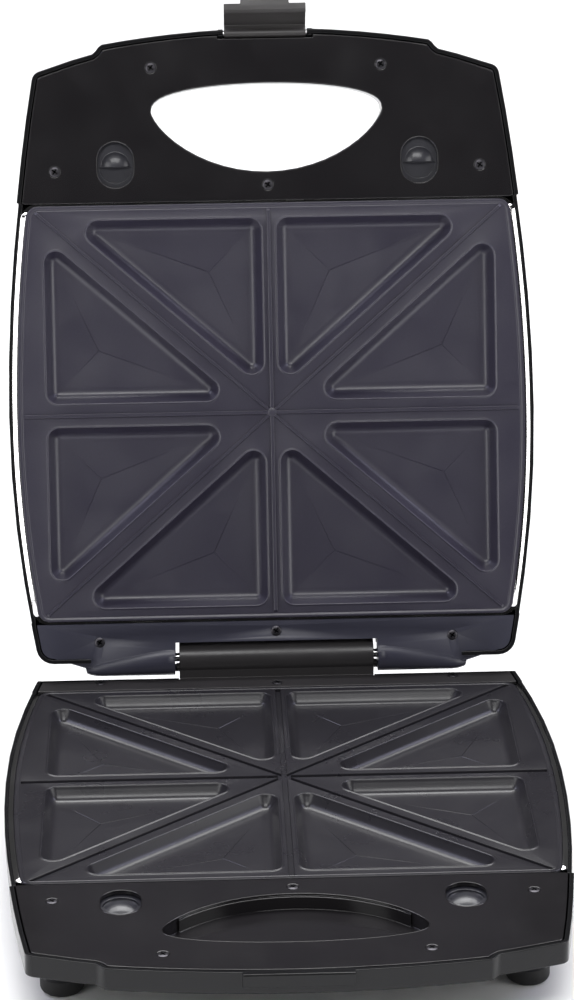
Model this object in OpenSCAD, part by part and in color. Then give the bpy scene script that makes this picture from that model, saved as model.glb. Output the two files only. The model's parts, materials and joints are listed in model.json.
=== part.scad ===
// Four-slice sandwich toaster, shown open.
//
// Both halves are drawn in one closed frame: the mating plane is z = 0, the centre of the plates
// is the origin, +y points to the hinge and "depth" is the distance away from the mating plane.
// place_base() turns depth downwards. place_lid() keeps depth upwards and swings the lid open.

/* [Body] */
// Greatest width of the closed body
body_w = 298; // [294:1:304]
// Distance from the plate centre to the front edge
front_reach = 216.3; // [214:0.1:220]
// Distance from the plate centre to the straight part of the rear edge
rear_reach = 141.2; // [140:0.1:143]
// Depth of the lower shell, without its feet
base_depth = 31; // [30:0.5:34]
// Height of the lid's crown above the mating plane
lid_depth = 46; // [44:0.5:50]
// Height of the upright wall band round each shell
band_h = 12.5; // [12:0.1:13.5]
// Wall thickness of the mouldings
wall = 2.4; // [2.2:0.1:2.6]

/* [Handle] */
// Width of the handle opening and of the finger recess under it
grip_w = 131; // [120:1:134]
// Depth of the finger recess in the base
recess_depth = 8.4; // [7:0.1:9]

/* [Plates] */
// Depth of each triangular pocket at the foot of its wall
pocket_depth = 6.5; // [5:0.1:7]
// Height of the cutting ribs on the upper plate
rib_h = 1.8; // [1.6:0.1:2]
// Thickness of the cast plates
plate_t = 2.6; // [2.4:0.1:2.8]

/* [Hinge] */
// Radius of the hinge barrel on the base
barrel_r = 8.6; // [8.2:0.1:8.8]
// Radius of the steel hinge pin
pin_r = 2.5; // [2:0.1:3]
// How far the lid stands open from closed, in degrees
open_angle = 106.6; // [100:0.1:108]

/* [Catches] */
// Travel of each plate-release catch
catch_travel = 5; // [4.6:0.1:5.2]

/* [Latch] */
// Width of the latch clip
clip_w = 46; // [40:1:46]
// How far the clip is swung out from latched, in degrees
clip_swing = 40; // [35:1:42]

/* [Feet] */
// Radius of each rubber foot at its top
foot_r = 11; // [10:0.1:11.4]
// Height of the rubber feet
foot_h = 9; // [8:0.5:11]

/* [Screws] */
// Head radius of the deck screws
screw_head_r = 3.2; // [3:0.1:3.3]
// Shank radius of the deck screws
screw_r = 1.5; // [1.3:0.1:1.6]

/* [Hidden] */
$fn = 64;

eps = 0.01;
slack = 0.05;                       // gap where one fixed piece sits in another
gap = 0.4;                          // half the gap between the closed halves
base_h = base_depth + foot_h;       // height of the mating plane above the table

// Outline of a half, seen from above
widest_y = 3.5;                     // where the body is widest
deck_front_y = -119.8;              // rear edge of the front deck
deck_rear_y = rear_reach - 22.4;    // front edge of the rear deck
side_front_r = 1080;                // plan radius of the front moulding's flank
side_mid_r = 930;                   // plan radius of the flank beside the plates
side_rear_r = 650;                  // plan radius behind the widest point
nose_r = 550;                       // plan radius of the bulged nose
cheek_r = 380;                      // plan radius of the cheeks beside the nose
nose_x = body_w / 2 - 57;           // where the nose steps back to the cheeks
step_x = 5.5;                       // width of that step
front_corner = [body_w / 2 - 23.1, -front_reach + 27.8];
front_corner_r = 5.9;
rear_corner_r = 10;
base_rear_y = rear_reach - 8.7;     // rear edge of the base at the mating plane

// Belly of the base and dome of the lid: u runs from the band (0) to the flat underside or crown
belly_kx = 0.84;                    // the underside's size as a share of the outline's
belly_ky = 0.829;
belly_yc = 76.6;                    // the line in y that the belly is drawn in towards
belly_us = [0, 0, 0.03, 0.15, 0.3, 0.45, 0.6, 0.75, 0.88, 1];
dome_kx = 0.7;
dome_ky = 0.579;
dome_yc = 40.6;
dome_us = [0, 0, 0.02, 0.12, 0.25, 0.4, 0.55, 0.7, 0.85, 1, 1.4, 2];
crown_h = 3;                        // bulge of the crown itself

// Steps in depth
deck_t = wall;
rear_drop = 0.6;                    // the rear decks lie a little below the front ones
rear_deck_d = gap + rear_drop + deck_t;
rim_in = 3.1;                       // from the outline to the decks' edges
rim_w = 1.7;                        // width of the shells' rim beside the plates

// Hinge
hinge_y = rear_reach - 1.55;
hinge_z = 9.5;
lug_x = 58;                         // inner end of the lid's barrels
lug_end_x = body_w / 2 - 48.5;      // centre of the lid barrels' round ends
lug_r = 10.1;
barrel_x = lug_x - 2.5;             // half length of the base's barrel
neck_y0 = hinge_y - 6.65;           // block that carries that barrel
neck_y1 = hinge_y + 7.95;
lid_cut_x = lug_x - 0.5;            // half width of the lid's cutout round the base barrel
lid_cut_y = hinge_y - barrel_r - 0.65;
pin_x = lug_end_x - 2.5;            // half length of the hinge pin
stop_a0 = 200;                      // the stop dogs' sector on the base's barrel, in degrees
stop_a1 = 240;
stop_r0 = 4.6;
stop_r1 = 8.2;

// Handle opening, and the ledge along the rear wall of the recess
grip_tip_y = -front_reach + 46;
grip_front = 15.8;
grip_rear = 34.6;
ledge_w = 1.6;
ledge_x = grip_w / 2 - 8.5;

// Heat trays
tray_in = 2;                        // from the outline to the tray's flange
tray_top = 1.3;                     // depth of the flange
tray_t = 0.6;
tray_step = 9.5;                    // depth at which the tray's wall starts to draw in
tray_floor = 18;
tray_kx = 0.925;
tray_ky = 0.93;

// Plates
plate_in = 5;                       // from the outline to the plate's edge
plate_d = 0.8;                      // depth of the plate's face
plate_y0 = deck_front_y + 1.2;
plate_y1 = deck_rear_y - 1.6;
plate_corner_r = 7;
skirt_d = 9;                        // depth of the skirt's lower edge
bead_w = 1.2;                       // raised bead round the edge
bead_h = 0.35;
rib_w = 2;                          // cutting ribs of the upper plate
groove_w = 3.2;                     // grooves of the lower plate that receive them
groove_t = 1.4;
pyramid_h = 1.2;                    // rise of the shallow pyramid in each pocket's floor
quarter_x = body_w / 2 - 14;        // corner of one quarter of a plate, in front and behind
quarter_y0 = -plate_y0 - 0.6;
quarter_y1 = plate_y1 + 0.8;
pocket_r = 7;
pocket_x = quarter_x - 7.5;         // outermost edge of the pockets
wall_run = 5.4;                     // how far a pocket's wall slopes inwards
margin_axis = 4;                    // land beside the upright line, the row line, the edge, the diagonal
margin_row = 6.5;
margin_edge = 7.8;
margin_diagonal = 7.2;

// Heating elements
element_r = 3;
element_d = tray_floor - element_r - 1;
element_x = body_w / 2 - 59;        // half width and half length of the loop
element_y = plate_y1 - 51.2;
element_end_y = plate_y1 + 5.8;     // where the cold ends stop
element_bend = 16;
element_leg_x = 24;                 // where the two ends run out to the rear
seat = [16, 9];

// Screws, as [x, y]
nose_screw = [body_w / 2 - 84.2, -front_reach + 21.1];
flank_screw = [body_w / 2 - 29, deck_front_y - 18];
rear_screw = [body_w / 2 - 48.4, rear_reach - 11.8];
front_screws = [nose_screw, [-nose_screw.x, nose_screw.y], flank_screw,
    [-flank_screw.x, flank_screw.y], [0, deck_front_y - 8.8]];
rear_screws = [rear_screw, [-rear_screw.x, rear_screw.y], [0, rear_reach - 16.4]];
deck_screw_len = 11;
screw_head_h = 1.9;
post_r = 4.2;
cross_w = 0.8;                      // slots of the screw heads
cross_l = 3.6;
cross_h = 1.2;

// Catches
catch_x = body_w / 2 - 63.2;
catch_y = deck_front_y - 21.2;
catch_hole_r = 10.5;
catch_hole_len = 26.3;
slider_w = 25.4;
slider_t = 3;
slider_d = gap + deck_t + 0.3;      // depth of the slider's face
slider_y0 = catch_y - 16.5;
slider_y1 = catch_y + 17;
tongue_w = 19;                      // tongue that holds the plate's front tab down
tongue_y1 = plate_y0 - 1.4;
thumb_r = 8;                        // bump for the thumb
thumb_h = 2.4;
rail_t = 2;                         // rails beside the sliders and the lips under them
lip_w = 2.4;
spring_r = 1.5;
spring_wire = 0.3;
spring_turns = 6;
spring_y0 = slider_y0 - 14.5;
spring_d = gap + deck_t + 0.35 + spring_r + spring_wire;
spigot_r = 0.9;
coil_steps = 8;
coil_sides = 6;

// Tabs that hold the plates: two under the catches, two under the rear deck
tab_w = 24;
tab_t = 1.8;
tab_d = slider_d + slider_t + 0.35;
tab_out = 4.9;
rear_tab_x = body_w / 2 - 52;
rear_tab_d = rear_deck_d + 0.4;

// Latch
pivot_y = -front_reach + 2.7;
pivot_z = 4.5;
clip_pin_r = 1.25;
clip_barrel_r = 2.6;
lug_w = 3;                          // lugs of the lid that hold the clip's pin
notch_h = 10.2;                     // height of the notch in the lid for the clip
pad_w = 54;                         // pad on the base that the clip hooks under
pad_h = 7.4;
pad_out = 2;
pad_chamfer = 0.6;
clip_t = 2.5;
clip_gap = 0.5;
clip_in = pivot_y + front_reach + pad_out + clip_gap;   // from the pivot to the clip's inner face
hook_z = -(pivot_z + gap + pad_h + 0.6);
hook_in = 2.1;
finger_w = 27;

// Feet and the vents between them
front_foot = [body_w / 2 - 33.5, -front_reach + 61.3];
rear_foot = [body_w / 2 - 46, rear_reach - 49.2];
foot_points = [front_foot, [-front_foot.x, front_foot.y], rear_foot, [-rear_foot.x, rear_foot.y]];
boss_r = foot_r + 0.5;
boss_out = 0.6;                     // how far the bosses stand proud of the underside
boss_h = base_depth - tray_floor - tray_t - 0.4;
foot_screw_len = 14;
foot_well_r = 3.6;
foot_well_h = 4;
vent_n = 3;                         // slots on each side
vent_x = 38;
vent_pitch = 12;
vent_l = 60;
vent_w = 4;

// Electrics
gland_x = body_w / 2 - 69;
gland_d = 17;
gland_r = 7;
gland_flange_r = 9;
gland_bore_r = 3.6;
lead_r = 1.1;
lead_sides = 8;
lead_y = element_end_y + 1.4;       // where the leads meet the element and the terminal block
lead_d = tray_floor + 4;            // depth at which the leads run outside the tray
block = [27, 9, 10];                // terminal block
block_at = [-47, lead_y + 0.1 + block.y / 2, 13];
terminal_pitch = 9;
thermostat_at = [46, -34];
thermostat_r = 8;
thermostat_tab = 2.4;               // half length of its tabs
thermostat_tab_x = 4;
fuse_at = [-30, 40];
fuse_d = tray_floor + 5;
fuse_wire_x = 13;                   // half length of the fuse with its wires
lamp_r = 4.2;
lamp_h = 10.6;
lamp_ball_r = 9;
lamp_points = [[16, dome_yc - (front_reach + dome_yc) * dome_ky - 9.9],
    [-16, dome_yc - (front_reach + dome_yc) * dome_ky - 9.9]];
lamp_top = lid_depth - 1.4;
holder_d = lamp_top - 18.6;         // depth of the lamp holders' inner end
holder_seat_d = lamp_top - 14.6;

// The open toaster stands on the origin: the middle of its footprint
function opened_y(y, z) =
    hinge_y + (y - hinge_y) * cos(open_angle) + (z - hinge_z) * sin(open_angle);
lid_tail_y = max([for (u = dome_us)
    opened_y(dome_yc - (front_reach + dome_yc) * (1 - u * (1 - dome_ky)), dome_depth(u, lid_depth))]);
row_y = (front_reach + pad_out - lid_tail_y) / 2;

// Colours
black = [0.11, 0.105, 0.115];
charcoal = [0.22, 0.215, 0.25];
steel = [0.86, 0.85, 0.86];
rubber = [0.08, 0.08, 0.08];

// ---------- outline ----------

function half_w(y) =
    y < deck_front_y - 0.7 ? body_w / 2 - pow(y - widest_y, 2) / (2 * side_front_r)
    : y < widest_y ? body_w / 2 - pow(y - widest_y, 2) / (2 * side_mid_r)
    : y < deck_rear_y - 1 ? body_w / 2 - pow(y - widest_y, 2) / (2 * side_rear_r)
    : body_w / 2 + 0.4 - pow(y - widest_y, 2) / (2 * side_rear_r);
function smooth(t) = t * t * (3 - 2 * t);
function nose_y(x) = -front_reach + x * x / (2 * nose_r);
function cheek_y(x) = -front_reach + 0.5 + x * x / (2 * cheek_r);
function front_y(x) =
    x <= nose_x ? nose_y(x)
    : x >= nose_x + step_x ? cheek_y(x)
    : let (t = smooth((x - nose_x) / step_x)) nose_y(x) * (1 - t) + cheek_y(x) * t;
function arc(c, r, a0, a1, n) =
    [for (i = [0:n]) let (a = a0 + (a1 - a0) * i / n) [c.x + r * cos(a), c.y + r * sin(a)]];

nose_xs = concat([for (t = [0.08, 0.24, 0.41, 0.58, 0.73, 0.87, 1]) t * nose_x],
    [for (t = [0.35, 0.65, 1, 3]) nose_x + t * step_x]);
flank_ys = concat([front_corner.y + 20.5, deck_front_y - 26.2, deck_front_y - 0.8, deck_front_y - 0.6],
    [for (t = [0.11, 0.235, 0.37, 0.5, 0.64, 0.77, 0.9]) deck_front_y + t * (deck_rear_y - deck_front_y)],
    [deck_rear_y - 1.2, deck_rear_y - 0.9]);

function rear_corner() = [half_w(rear_reach - rear_corner_r) - rear_corner_r,
    rear_reach - rear_corner_r];
function right_side() = concat(
    [for (x = nose_xs) [x, front_y(x)]],
    arc(front_corner, front_corner_r, -71, -10, 4),
    [for (y = flank_ys) [half_w(y), y]],
    arc(rear_corner(), rear_corner_r, 11, 90, 5),
    [for (t = [0.5, 0.17]) [t * rear_corner().x, rear_reach]]);
function mirrored(pts) = [for (i = [len(pts) - 1:-1:0]) [-pts[i].x, pts[i].y]];
outline = concat(right_side(), mirrored(right_side()));

// Moves every point of a closed outline inwards along its own normal
function inset(pts, e) = let (n = len(pts)) [for (i = [0:n - 1])
    let (d = pts[(i + 1) % n] - pts[(i + n - 1) % n], k = e / norm(d))
    [pts[i].x - d.y * k, pts[i].y + d.x * k]];
// Draws an outline in towards a smaller plan, u running from 0 to 1
function drawn_in(pts, u, kx, ky, yc) =
    [for (p = pts) [p.x * (1 - u * (1 - kx)), yc + (p.y - yc) * (1 - u * (1 - ky))]];

// A closed solid through equal rings of points, one at each depth
module skin(rings, depths) {
    n = len(rings[0]);
    last = len(rings) - 1;
    points = [for (k = [0:last]) for (p = rings[k]) [p.x, p.y, depths[k]]];
    sides = [for (k = [0:last - 1]) for (i = [0:n - 1]) let (j = (i + 1) % n)
        [k * n + i, (k + 1) * n + i, (k + 1) * n + j, k * n + j]];
    polyhedron(points = points, faces = concat(sides,
        [[for (i = [0:n - 1]) i]], [[for (i = [n - 1:-1:0]) last * n + i]]));
}

// ---------- placing ----------

module place_base() {
    translate([0, row_y, base_h])
        mirror([0, 0, 1])
            children();
}

module place_lid() {
    translate([0, row_y + hinge_y, base_h + hinge_z])
        rotate([-open_angle, 0, 0])
            translate([0, -hinge_y, -hinge_z])
                children();
}

module place_clip() {
    place_lid()
        translate([0, pivot_y, pivot_z])
            rotate([-clip_swing, 0, 0])
                children();
}

module both_sides() {
    for (s = [0, 1])
        mirror([s, 0, 0])
            children();
}

module at_points(pts) {
    for (p = pts)
        translate(p)
            children();
}

module along_x(r, x0, x1) {
    translate([x0, 0, 0])
        rotate([0, 90, 0])
            cylinder(r = r, h = x1 - x0);
}

module along_y(r, y0, y1) {
    translate([0, y0, 0])
        rotate([-90, 0, 0])
            cylinder(r = r, h = y1 - y0);
}

module at_hinge(z) {
    translate([0, hinge_y, z])
        children();
}

// ---------- the handle opening ----------

// Almond outline: flatter towards the nose, deeper towards the plates
function grip_outline() = [for (a = [0:7.5:352.5]) [grip_w / 2 * cos(a), grip_tip_y
    + (sin(a) >= 0 ? grip_rear * pow(sin(a), 1.4) : -grip_front * pow(-sin(a), 0.76))]];

module grip(e, d0, d1) {
    translate([0, 0, d0])
        linear_extrude(height = d1 - d0)
            polygon(inset(grip_outline(), e));
}

// ---------- shells ----------

// Belly of the base: upright band, small edge radius, then a swept underside
function belly_depth(u, deep) = u == 0 ? band_h - 0.6 : band_h + (deep - band_h) * pow(sin(90 * u), 2);

function belly_rings(e) = let (plan = inset(outline, e))
    concat([for (u = belly_us) drawn_in(plan, u, belly_kx, belly_ky, belly_yc)],
        [drawn_in(plan, 1, 0.06, 0.06, 0)]);
function belly_depths(e) = let (deep = base_depth - boss_out - e)
    concat([gap], [for (i = [1:len(belly_us) - 1]) belly_depth(belly_us[i], deep)], [deep + 0.3]);

// Dome of the lid: upright band, edge radius, then a wedge that rises to a crown
function dome_depth(u, deep) =
    u == 0 ? band_h - 1.5
    : u <= 1 ? band_h + (deep - crown_h - band_h) * pow(sin(90 * u), 1.1)
    : deep - crown_h + crown_h * sin(90 * (u - 1));

function dome_rings(e) = let (plan = inset(outline, e))
    [for (u = dome_us) drawn_in(plan, u, dome_kx, dome_ky, dome_yc)];
function dome_depths(e) = concat([gap], [for (i = [1:len(dome_us) - 1])
    dome_depth(dome_us[i], lid_depth - e)]);

// A moulding with an even wall, open at the mating plane: inside first, then the outside
function backwards(list) = [for (i = [len(list) - 1:-1:0]) list[i]];
module belly_cup() {
    skin(concat(backwards(belly_rings(wall)), belly_rings(0)),
        concat(backwards(belly_depths(wall)), belly_depths(0)));
}

module dome_cup() {
    skin(concat(backwards(dome_rings(wall)), dome_rings(0)),
        concat(backwards(dome_depths(wall)), dome_depths(0)));
}

// Posts that reach from the shell up to the underside of a deck
module posts(pts, deck_d) {
    at_points(pts)
        translate([0, 0, deck_d + slack])
            cylinder(r = post_r, h = lid_depth);
}

module post_bores(pts) {
    at_points(pts)
        translate([0, 0, -1])
            cylinder(r = screw_r + slack, h = deck_screw_len + 3);
}

// Seat for the heat tray's flange, sunk into a shell's rim beside the plates
module tray_rebate() {
    translate([0, 0, -1])
        linear_extrude(height = tray_top + tray_t + slack + 1)
            polygon(pan(rim_w, plate_y0 - 1.2, plate_y1 + 1.5, plate_corner_r + 2));
}

module base_shell() {
    color(black)
        place_base()
            difference() {
                union() {
                    belly_cup();
                    intersection() {
                        within(belly_rings(wall / 2), belly_depths(wall / 2));
                        union() {
                            posts(front_screws, gap + deck_t);
                            posts(rear_screws, rear_deck_d);
                            bevel_slab(-1, 1.4 * wall, base_rear_y);
                        }
                    }
                    at_points(foot_points)
                        translate([0, 0, base_depth - boss_h])
                            cylinder(r = boss_r, h = boss_h);
                    at_gland()
                        along_y(gland_flange_r + 1, -12, 0);
                    translate([block_at.x - 8, block_at.y - 3, block_at.z + block.z / 2 + slack])
                        cube([16, rear_reach - block_at.y, wall]);
                    latch_pad();
                }
                tray_rebate();
                post_bores(concat(front_screws, rear_screws));
                at_points(foot_points)
                    translate([0, 0, base_depth - 9])
                        cylinder(r = screw_r + slack, h = 20);
                bevel_slab(-20, 0, base_rear_y - 4);
                translate([-barrel_x - 0.3, neck_y0 - 0.8, -1])
                    cube([2 * barrel_x + 0.6, 20, rear_deck_d + slack + 1]);
                both_sides()
                    for (i = [0:vent_n - 1])
                        translate([vent_x + i * vent_pitch - vent_w / 2, -vent_l / 2, base_depth - 5])
                            cube([vent_w, vent_l, 10]);
                at_gland()
                    along_y(gland_r + slack, -20, 20);
            }
}

// The space up to the middle of a moulding's wall, through every other point of its rings
module within(rings, depths) {
    skin([for (ring = rings) [for (i = [0:2:len(ring) - 1]) ring[i]]], depths);
}

// Slab along the bevel of the base's top rear edge, from depth h0 to h1 measured down from it
module bevel_slab(h0, h1, y0) {
    d0 = gap + y0 - base_rear_y;
    translate([-body_w, 0, 0])
        rotate([90, 0, 90])
            linear_extrude(height = 2 * body_w)
                polygon([[y0, d0 + h0], [base_rear_y + 15, gap + 15 + h0],
                    [base_rear_y + 15, gap + 15 + h1], [y0, d0 + h1]]);
}

module latch_pad() {
    y0 = -front_reach - pad_out;
    y1 = -front_reach + wall + 0.6;
    d1 = gap + pad_h;
    translate([-pad_w / 2, 0, 0])
        rotate([90, 0, 90])
            linear_extrude(height = pad_w)
                polygon([[y0, gap + pad_chamfer], [y0 + pad_chamfer, gap], [y1, gap], [y1, d1],
                    [y0 + pad_chamfer, d1], [y0, d1 - pad_chamfer]]);
}

module lid_shell() {
    color(black)
        place_lid()
            difference() {
                union() {
                    difference() {
                        dome_cup();
                        barrel_room();
                    }
                    intersection() {
                        within(dome_rings(wall / 2), dome_depths(wall / 2));
                        union() {
                            difference() {
                                cutout_walls();
                                barrel_room();
                            }
                            posts(front_screws, gap + deck_t);
                            posts(rear_screws, rear_deck_d);
                            grip(-wall, gap + deck_t + slack, lid_depth);
                        }
                    }
                    clip_lugs();
                }
                tray_rebate();
                grip(0, -1, lid_depth + 1);
                post_bores(concat(front_screws, rear_screws));
                translate([-lid_cut_x, lid_cut_y, -1])
                    cube([2 * lid_cut_x, 40, lid_depth + 10]);
                clip_notch();
                lid_crown_bores();
            }
}

// Walls that close the lid round its rear cutout
module cutout_walls() {
    d0 = rear_deck_d + 0.1;
    translate([-lid_cut_x - wall, lid_cut_y - wall, d0])
        cube([2 * (lid_cut_x + wall), wall, lid_depth]);
    both_sides()
        translate([lid_cut_x, lid_cut_y - wall, d0])
            cube([wall, 20, lid_depth]);
}

// Room in the lid shell for the barrels of its rear deck
module barrel_room() {
    both_sides()
        at_hinge(hinge_z)
            union() {
                along_x(lug_r + 0.3, 0, lug_end_x);
                translate([lug_end_x, 0, 0])
                    sphere(r = lug_r + 0.3);
            }
}

module clip_lugs() {
    both_sides()
        translate([clip_w / 2 + 0.6, pivot_y, pivot_z])
            difference() {
                along_x(clip_barrel_r, 0, lug_w);
                along_x(clip_pin_r + slack, -1, lug_w + 1);
            }
}

// Room in the lid's front deck for those lugs
module lug_room() {
    half = clip_w / 2 + 0.6 + lug_w + 0.3;
    translate([-half, pivot_y - 10, -1])
        cube([2 * half, 10 + clip_barrel_r + 0.3, notch_h]);
}

module clip_notch() {
    translate([-clip_w / 2 - 0.6, -front_reach - 5, -1])
        cube([clip_w + 1.2, pivot_y + clip_barrel_r + 0.3 + front_reach + 5, notch_h + 1]);
    translate([0, pivot_y, pivot_z])
        along_x(clip_pin_r + slack, -clip_w / 2 - lug_w, clip_w / 2 + lug_w);
}

// ---------- decks ----------

module deck_plan(y0, y1) {
    intersection() {
        polygon(inset(outline, rim_in));
        translate([-body_w, y0])
            square([2 * body_w, y1 - y0]);
    }
}

module stadium(r, len) {
    translate([0, len / 2 - r])
        circle(r = r);
    translate([0, r - len / 2])
        circle(r = r);
    square([2 * r, len - 2 * r], center = true);
}

module screw_seats(pts) {
    at_points(pts) {
        translate([0, 0, gap - eps])
            cylinder(r1 = screw_head_r + slack, r2 = screw_r + slack, h = screw_head_h);
        translate([0, 0, gap])
            cylinder(r = screw_r + slack, h = deck_t + 1);
    }
}

// Channels that carry the two catches, with lips under the sliders
module catch_rails() {
    d0 = gap + deck_t - eps;
    d1 = slider_d + slider_t + 0.3;
    for (c = [-catch_x, catch_x])
        translate([c, 0, 0])
            both_sides()
                union() {
                    translate([slider_w / 2 + 0.3, slider_y0 - catch_travel - 2, d0])
                        cube([rail_t, slider_y1 - slider_y0 + catch_travel, d1 + 1.5 - d0]);
                    translate([slider_w / 2 + 0.3 - lip_w, slider_y0 - catch_travel - 2, d1])
                        cube([lip_w + eps, slider_y1 - slider_y0 + catch_travel, 1.5]);
                }
    for (c = [-catch_x, catch_x])
        translate([c - slider_w / 2, spring_y0 - 2, d0])
            cube([slider_w, 2, d1 - d0]);
}

module front_deck() {
    difference() {
        union() {
            translate([0, 0, gap])
                linear_extrude(height = deck_t)
                    deck_plan(-front_reach - 10, deck_front_y);
            catch_rails();
        }
        for (c = [-catch_x, catch_x])
            translate([c, catch_y, -1])
                linear_extrude(height = deck_t + 2)
                    stadium(catch_hole_r, catch_hole_len);
        screw_seats(front_screws);
    }
}

module base_front_deck() {
    color(black)
        place_base()
            difference() {
                union() {
                    front_deck();
                    grip(-wall, gap + deck_t - eps, recess_depth + wall);
                }
                difference() {
                    grip(0, -1, recess_depth);
                    intersection() {
                        difference() {
                            grip(0, gap + 1.2, recess_depth + 1);
                            translate([0, -ledge_w, 0])
                                grip(0, gap, recess_depth + 2);
                        }
                        translate([-ledge_x, grip_tip_y, 0])
                            cube([2 * ledge_x, 50, 20]);
                    }
                }
            }
}

module lid_front_deck() {
    color(black)
        place_lid()
            difference() {
                front_deck();
                grip(0, -1, 20);
                lug_room();
            }
}

module rear_deck_plate(y1) {
    difference() {
        translate([0, 0, gap + rear_drop])
            linear_extrude(height = deck_t)
                deck_plan(deck_rear_y, y1);
        translate([0, 0, rear_drop])
            screw_seats(rear_screws);
    }
}

module base_rear_deck() {
    color(black)
        place_base()
            difference() {
                union() {
                    rear_deck_plate(base_rear_y - 0.6);
                    at_hinge(-hinge_z)
                        along_x(barrel_r, -barrel_x, barrel_x);
                    translate([-barrel_x, neck_y0, -hinge_z])
                        cube([2 * barrel_x, neck_y1 - neck_y0, hinge_z + rear_deck_d]);
                    translate([-barrel_x, neck_y0 - 2, gap + rear_drop])
                        cube([2 * barrel_x, 4, deck_t]);
                    both_sides()
                        stop_dog(barrel_x - 1, barrel_x + 1.8, -stop_a1, -stop_a0, -hinge_z);
                }
                at_hinge(-hinge_z)
                    along_x(pin_r + slack, -barrel_x - 5, barrel_x + 5);
            }
}

// Stop dogs on the facing ends of the barrels: they meet when the lid is fully open
module stop_dog(x0, x1, a0, a1, z) {
    at_hinge(z)
        translate([x0, 0, 0])
            rotate([90, 0, 90])
                linear_extrude(height = x1 - x0)
                    polygon(concat(arc([0, 0], stop_r1, a0, a1, 8), arc([0, 0], stop_r0, a1, a0, 8)));
}

module lid_barrel() {
    at_hinge(hinge_z)
        rotate([0, 90, 0])
            rotate_extrude()
                polygon(concat([[0, lug_x], [lug_r, lug_x]], arc([0, lug_end_x], lug_r, 0, 90, 6)));
}

module lid_rear_deck() {
    dog_a0 = stop_a1 + open_angle + 0.6;
    color(charcoal)
        place_lid()
            difference() {
                union() {
                    difference() {
                        rear_deck_plate(rear_reach);
                        translate([-lid_cut_x, lid_cut_y, -1])
                            cube([2 * lid_cut_x, 40, 20]);
                    }
                    difference() {
                        both_sides()
                            lid_barrel();
                        at_points(rear_screws)
                            translate([0, 0, rear_deck_d])
                                cylinder(r = post_r + 0.2, h = 30);
                    }
                    both_sides()
                        stop_dog(barrel_x + 0.4, lug_x + 1, dog_a0, dog_a0 + 40, hinge_z);
                }
                at_hinge(hinge_z)
                    along_x(pin_r + slack, -pin_x - 0.3, pin_x + 0.3);
            }
}

module hinge_pin() {
    color(steel)
        place_base()
            at_hinge(-hinge_z)
                along_x(pin_r, -pin_x, pin_x);
}

// ---------- heat trays and plates ----------

// Plan that follows the flanks at a distance e, between y0 and y1, with round corners
function pan_side(e, y0, y1, r) = concat(
    arc([half_w(y0 + r) - e - r, y0 + r], r, -90, -8, 5),
    [for (i = [1:8]) let (y = y0 + r + (y1 - y0 - 2 * r) * i / 9) [half_w(y) - e, y]],
    arc([half_w(y1 - r) - e - r, y1 - r], r, 10, 90, 5));
function pan(e, y0, y1, r) = let (side = pan_side(e, y0, y1, r)) concat(side, mirrored(side));

tray_mouth = pan(plate_in - 0.7, plate_y0 - 0.3, plate_y1 + 0.3, plate_corner_r + 0.7);
tray_rim = pan(tray_in, plate_y0 - 1, plate_y1 + 1.3, plate_corner_r + 2);

module tray_well(e, d0, d1) {
    mouth = inset(tray_mouth, e);
    skin([mouth, mouth, drawn_in(mouth, 1, tray_kx, tray_ky, 0)], [d0, tray_step, d1]);
}

module heat_tray() {
    difference() {
        union() {
            translate([0, 0, tray_top])
                linear_extrude(height = tray_t)
                    polygon(tray_rim);
            tray_well(-tray_t, tray_top, tray_floor + tray_t);
        }
        tray_well(0, tray_top - 1, tray_floor);
        both_sides() {
            translate([catch_x - tab_w / 2 - 0.6, plate_y0 - 4, tab_d - 0.5])
                cube([tab_w + 1.2, 8, tab_t + 1]);
            translate([rear_tab_x - tab_w / 2 - 0.6, plate_y1 - 4, rear_tab_d - 0.5])
                cube([tab_w + 1.2, 8, tab_t + 1]);
            translate([element_leg_x, 0, element_d])
                along_y(element_r + 0.3, plate_y1 - 17, plate_y1 + 3);
        }
    }
}

module base_heat_tray() {
    color(steel)
        place_base()
            heat_tray();
}

module lid_heat_tray() {
    color(steel)
        place_lid()
            heat_tray();
}

// Rounds the corners of a convex polygon that runs anticlockwise
function rounded(pts, r, n) = let (m = len(pts)) [for (i = [0:m - 1])
    let (v = pts[i], a = pts[(i + m - 1) % m] - v, b = pts[(i + 1) % m] - v,
        ua = a / norm(a), ub = b / norm(b), half = acos(ua * ub) / 2,
        bis = (ua + ub) / norm(ua + ub), c = v + bis * r / sin(half),
        mid = atan2(-bis.y, -bis.x), span = 90 - half)
    for (k = [0:n]) let (t = mid - span + 2 * span * k / n) c + r * [cos(t), sin(t)]];

// Each quarter of a plate holds two triangular pockets, on either side of its diagonal
function slope(reach) = reach / quarter_x;
function lift(reach) = margin_diagonal * norm([1, slope(reach)]);
function inner_pocket(reach) = let (k = slope(reach), b = lift(reach), top = reach - margin_edge)
    [[margin_axis, k * margin_axis + b], [(top - b) / k, top], [margin_axis, top]];
function outer_pocket(reach) = let (k = slope(reach), b = lift(reach))
    [[(margin_row + b) / k, margin_row], [pocket_x, margin_row], [pocket_x, k * pocket_x - b]];
function incentre(t) = let (a = norm(t[1] - t[2]), b = norm(t[2] - t[0]), c = norm(t[0] - t[1]))
    (a * t[0] + b * t[1] + c * t[2]) / (a + b + c);

// A pocket's hollow, or with grow > 0 the bulge of its underside
module pocket(corners, grow) {
    rim = inset(rounded(corners, pocket_r, 4), -grow * 0.7);
    foot = inset(rim, wall_run);
    centre = incentre(corners);
    tip = [for (p = foot) centre + (p - centre) * 0.02];
    deep = plate_d + pocket_depth + grow;
    skin([rim, foot, tip], [grow > 0 ? plate_d + 0.5 : plate_d - 0.02, deep, deep + pyramid_h]);
}

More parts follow.
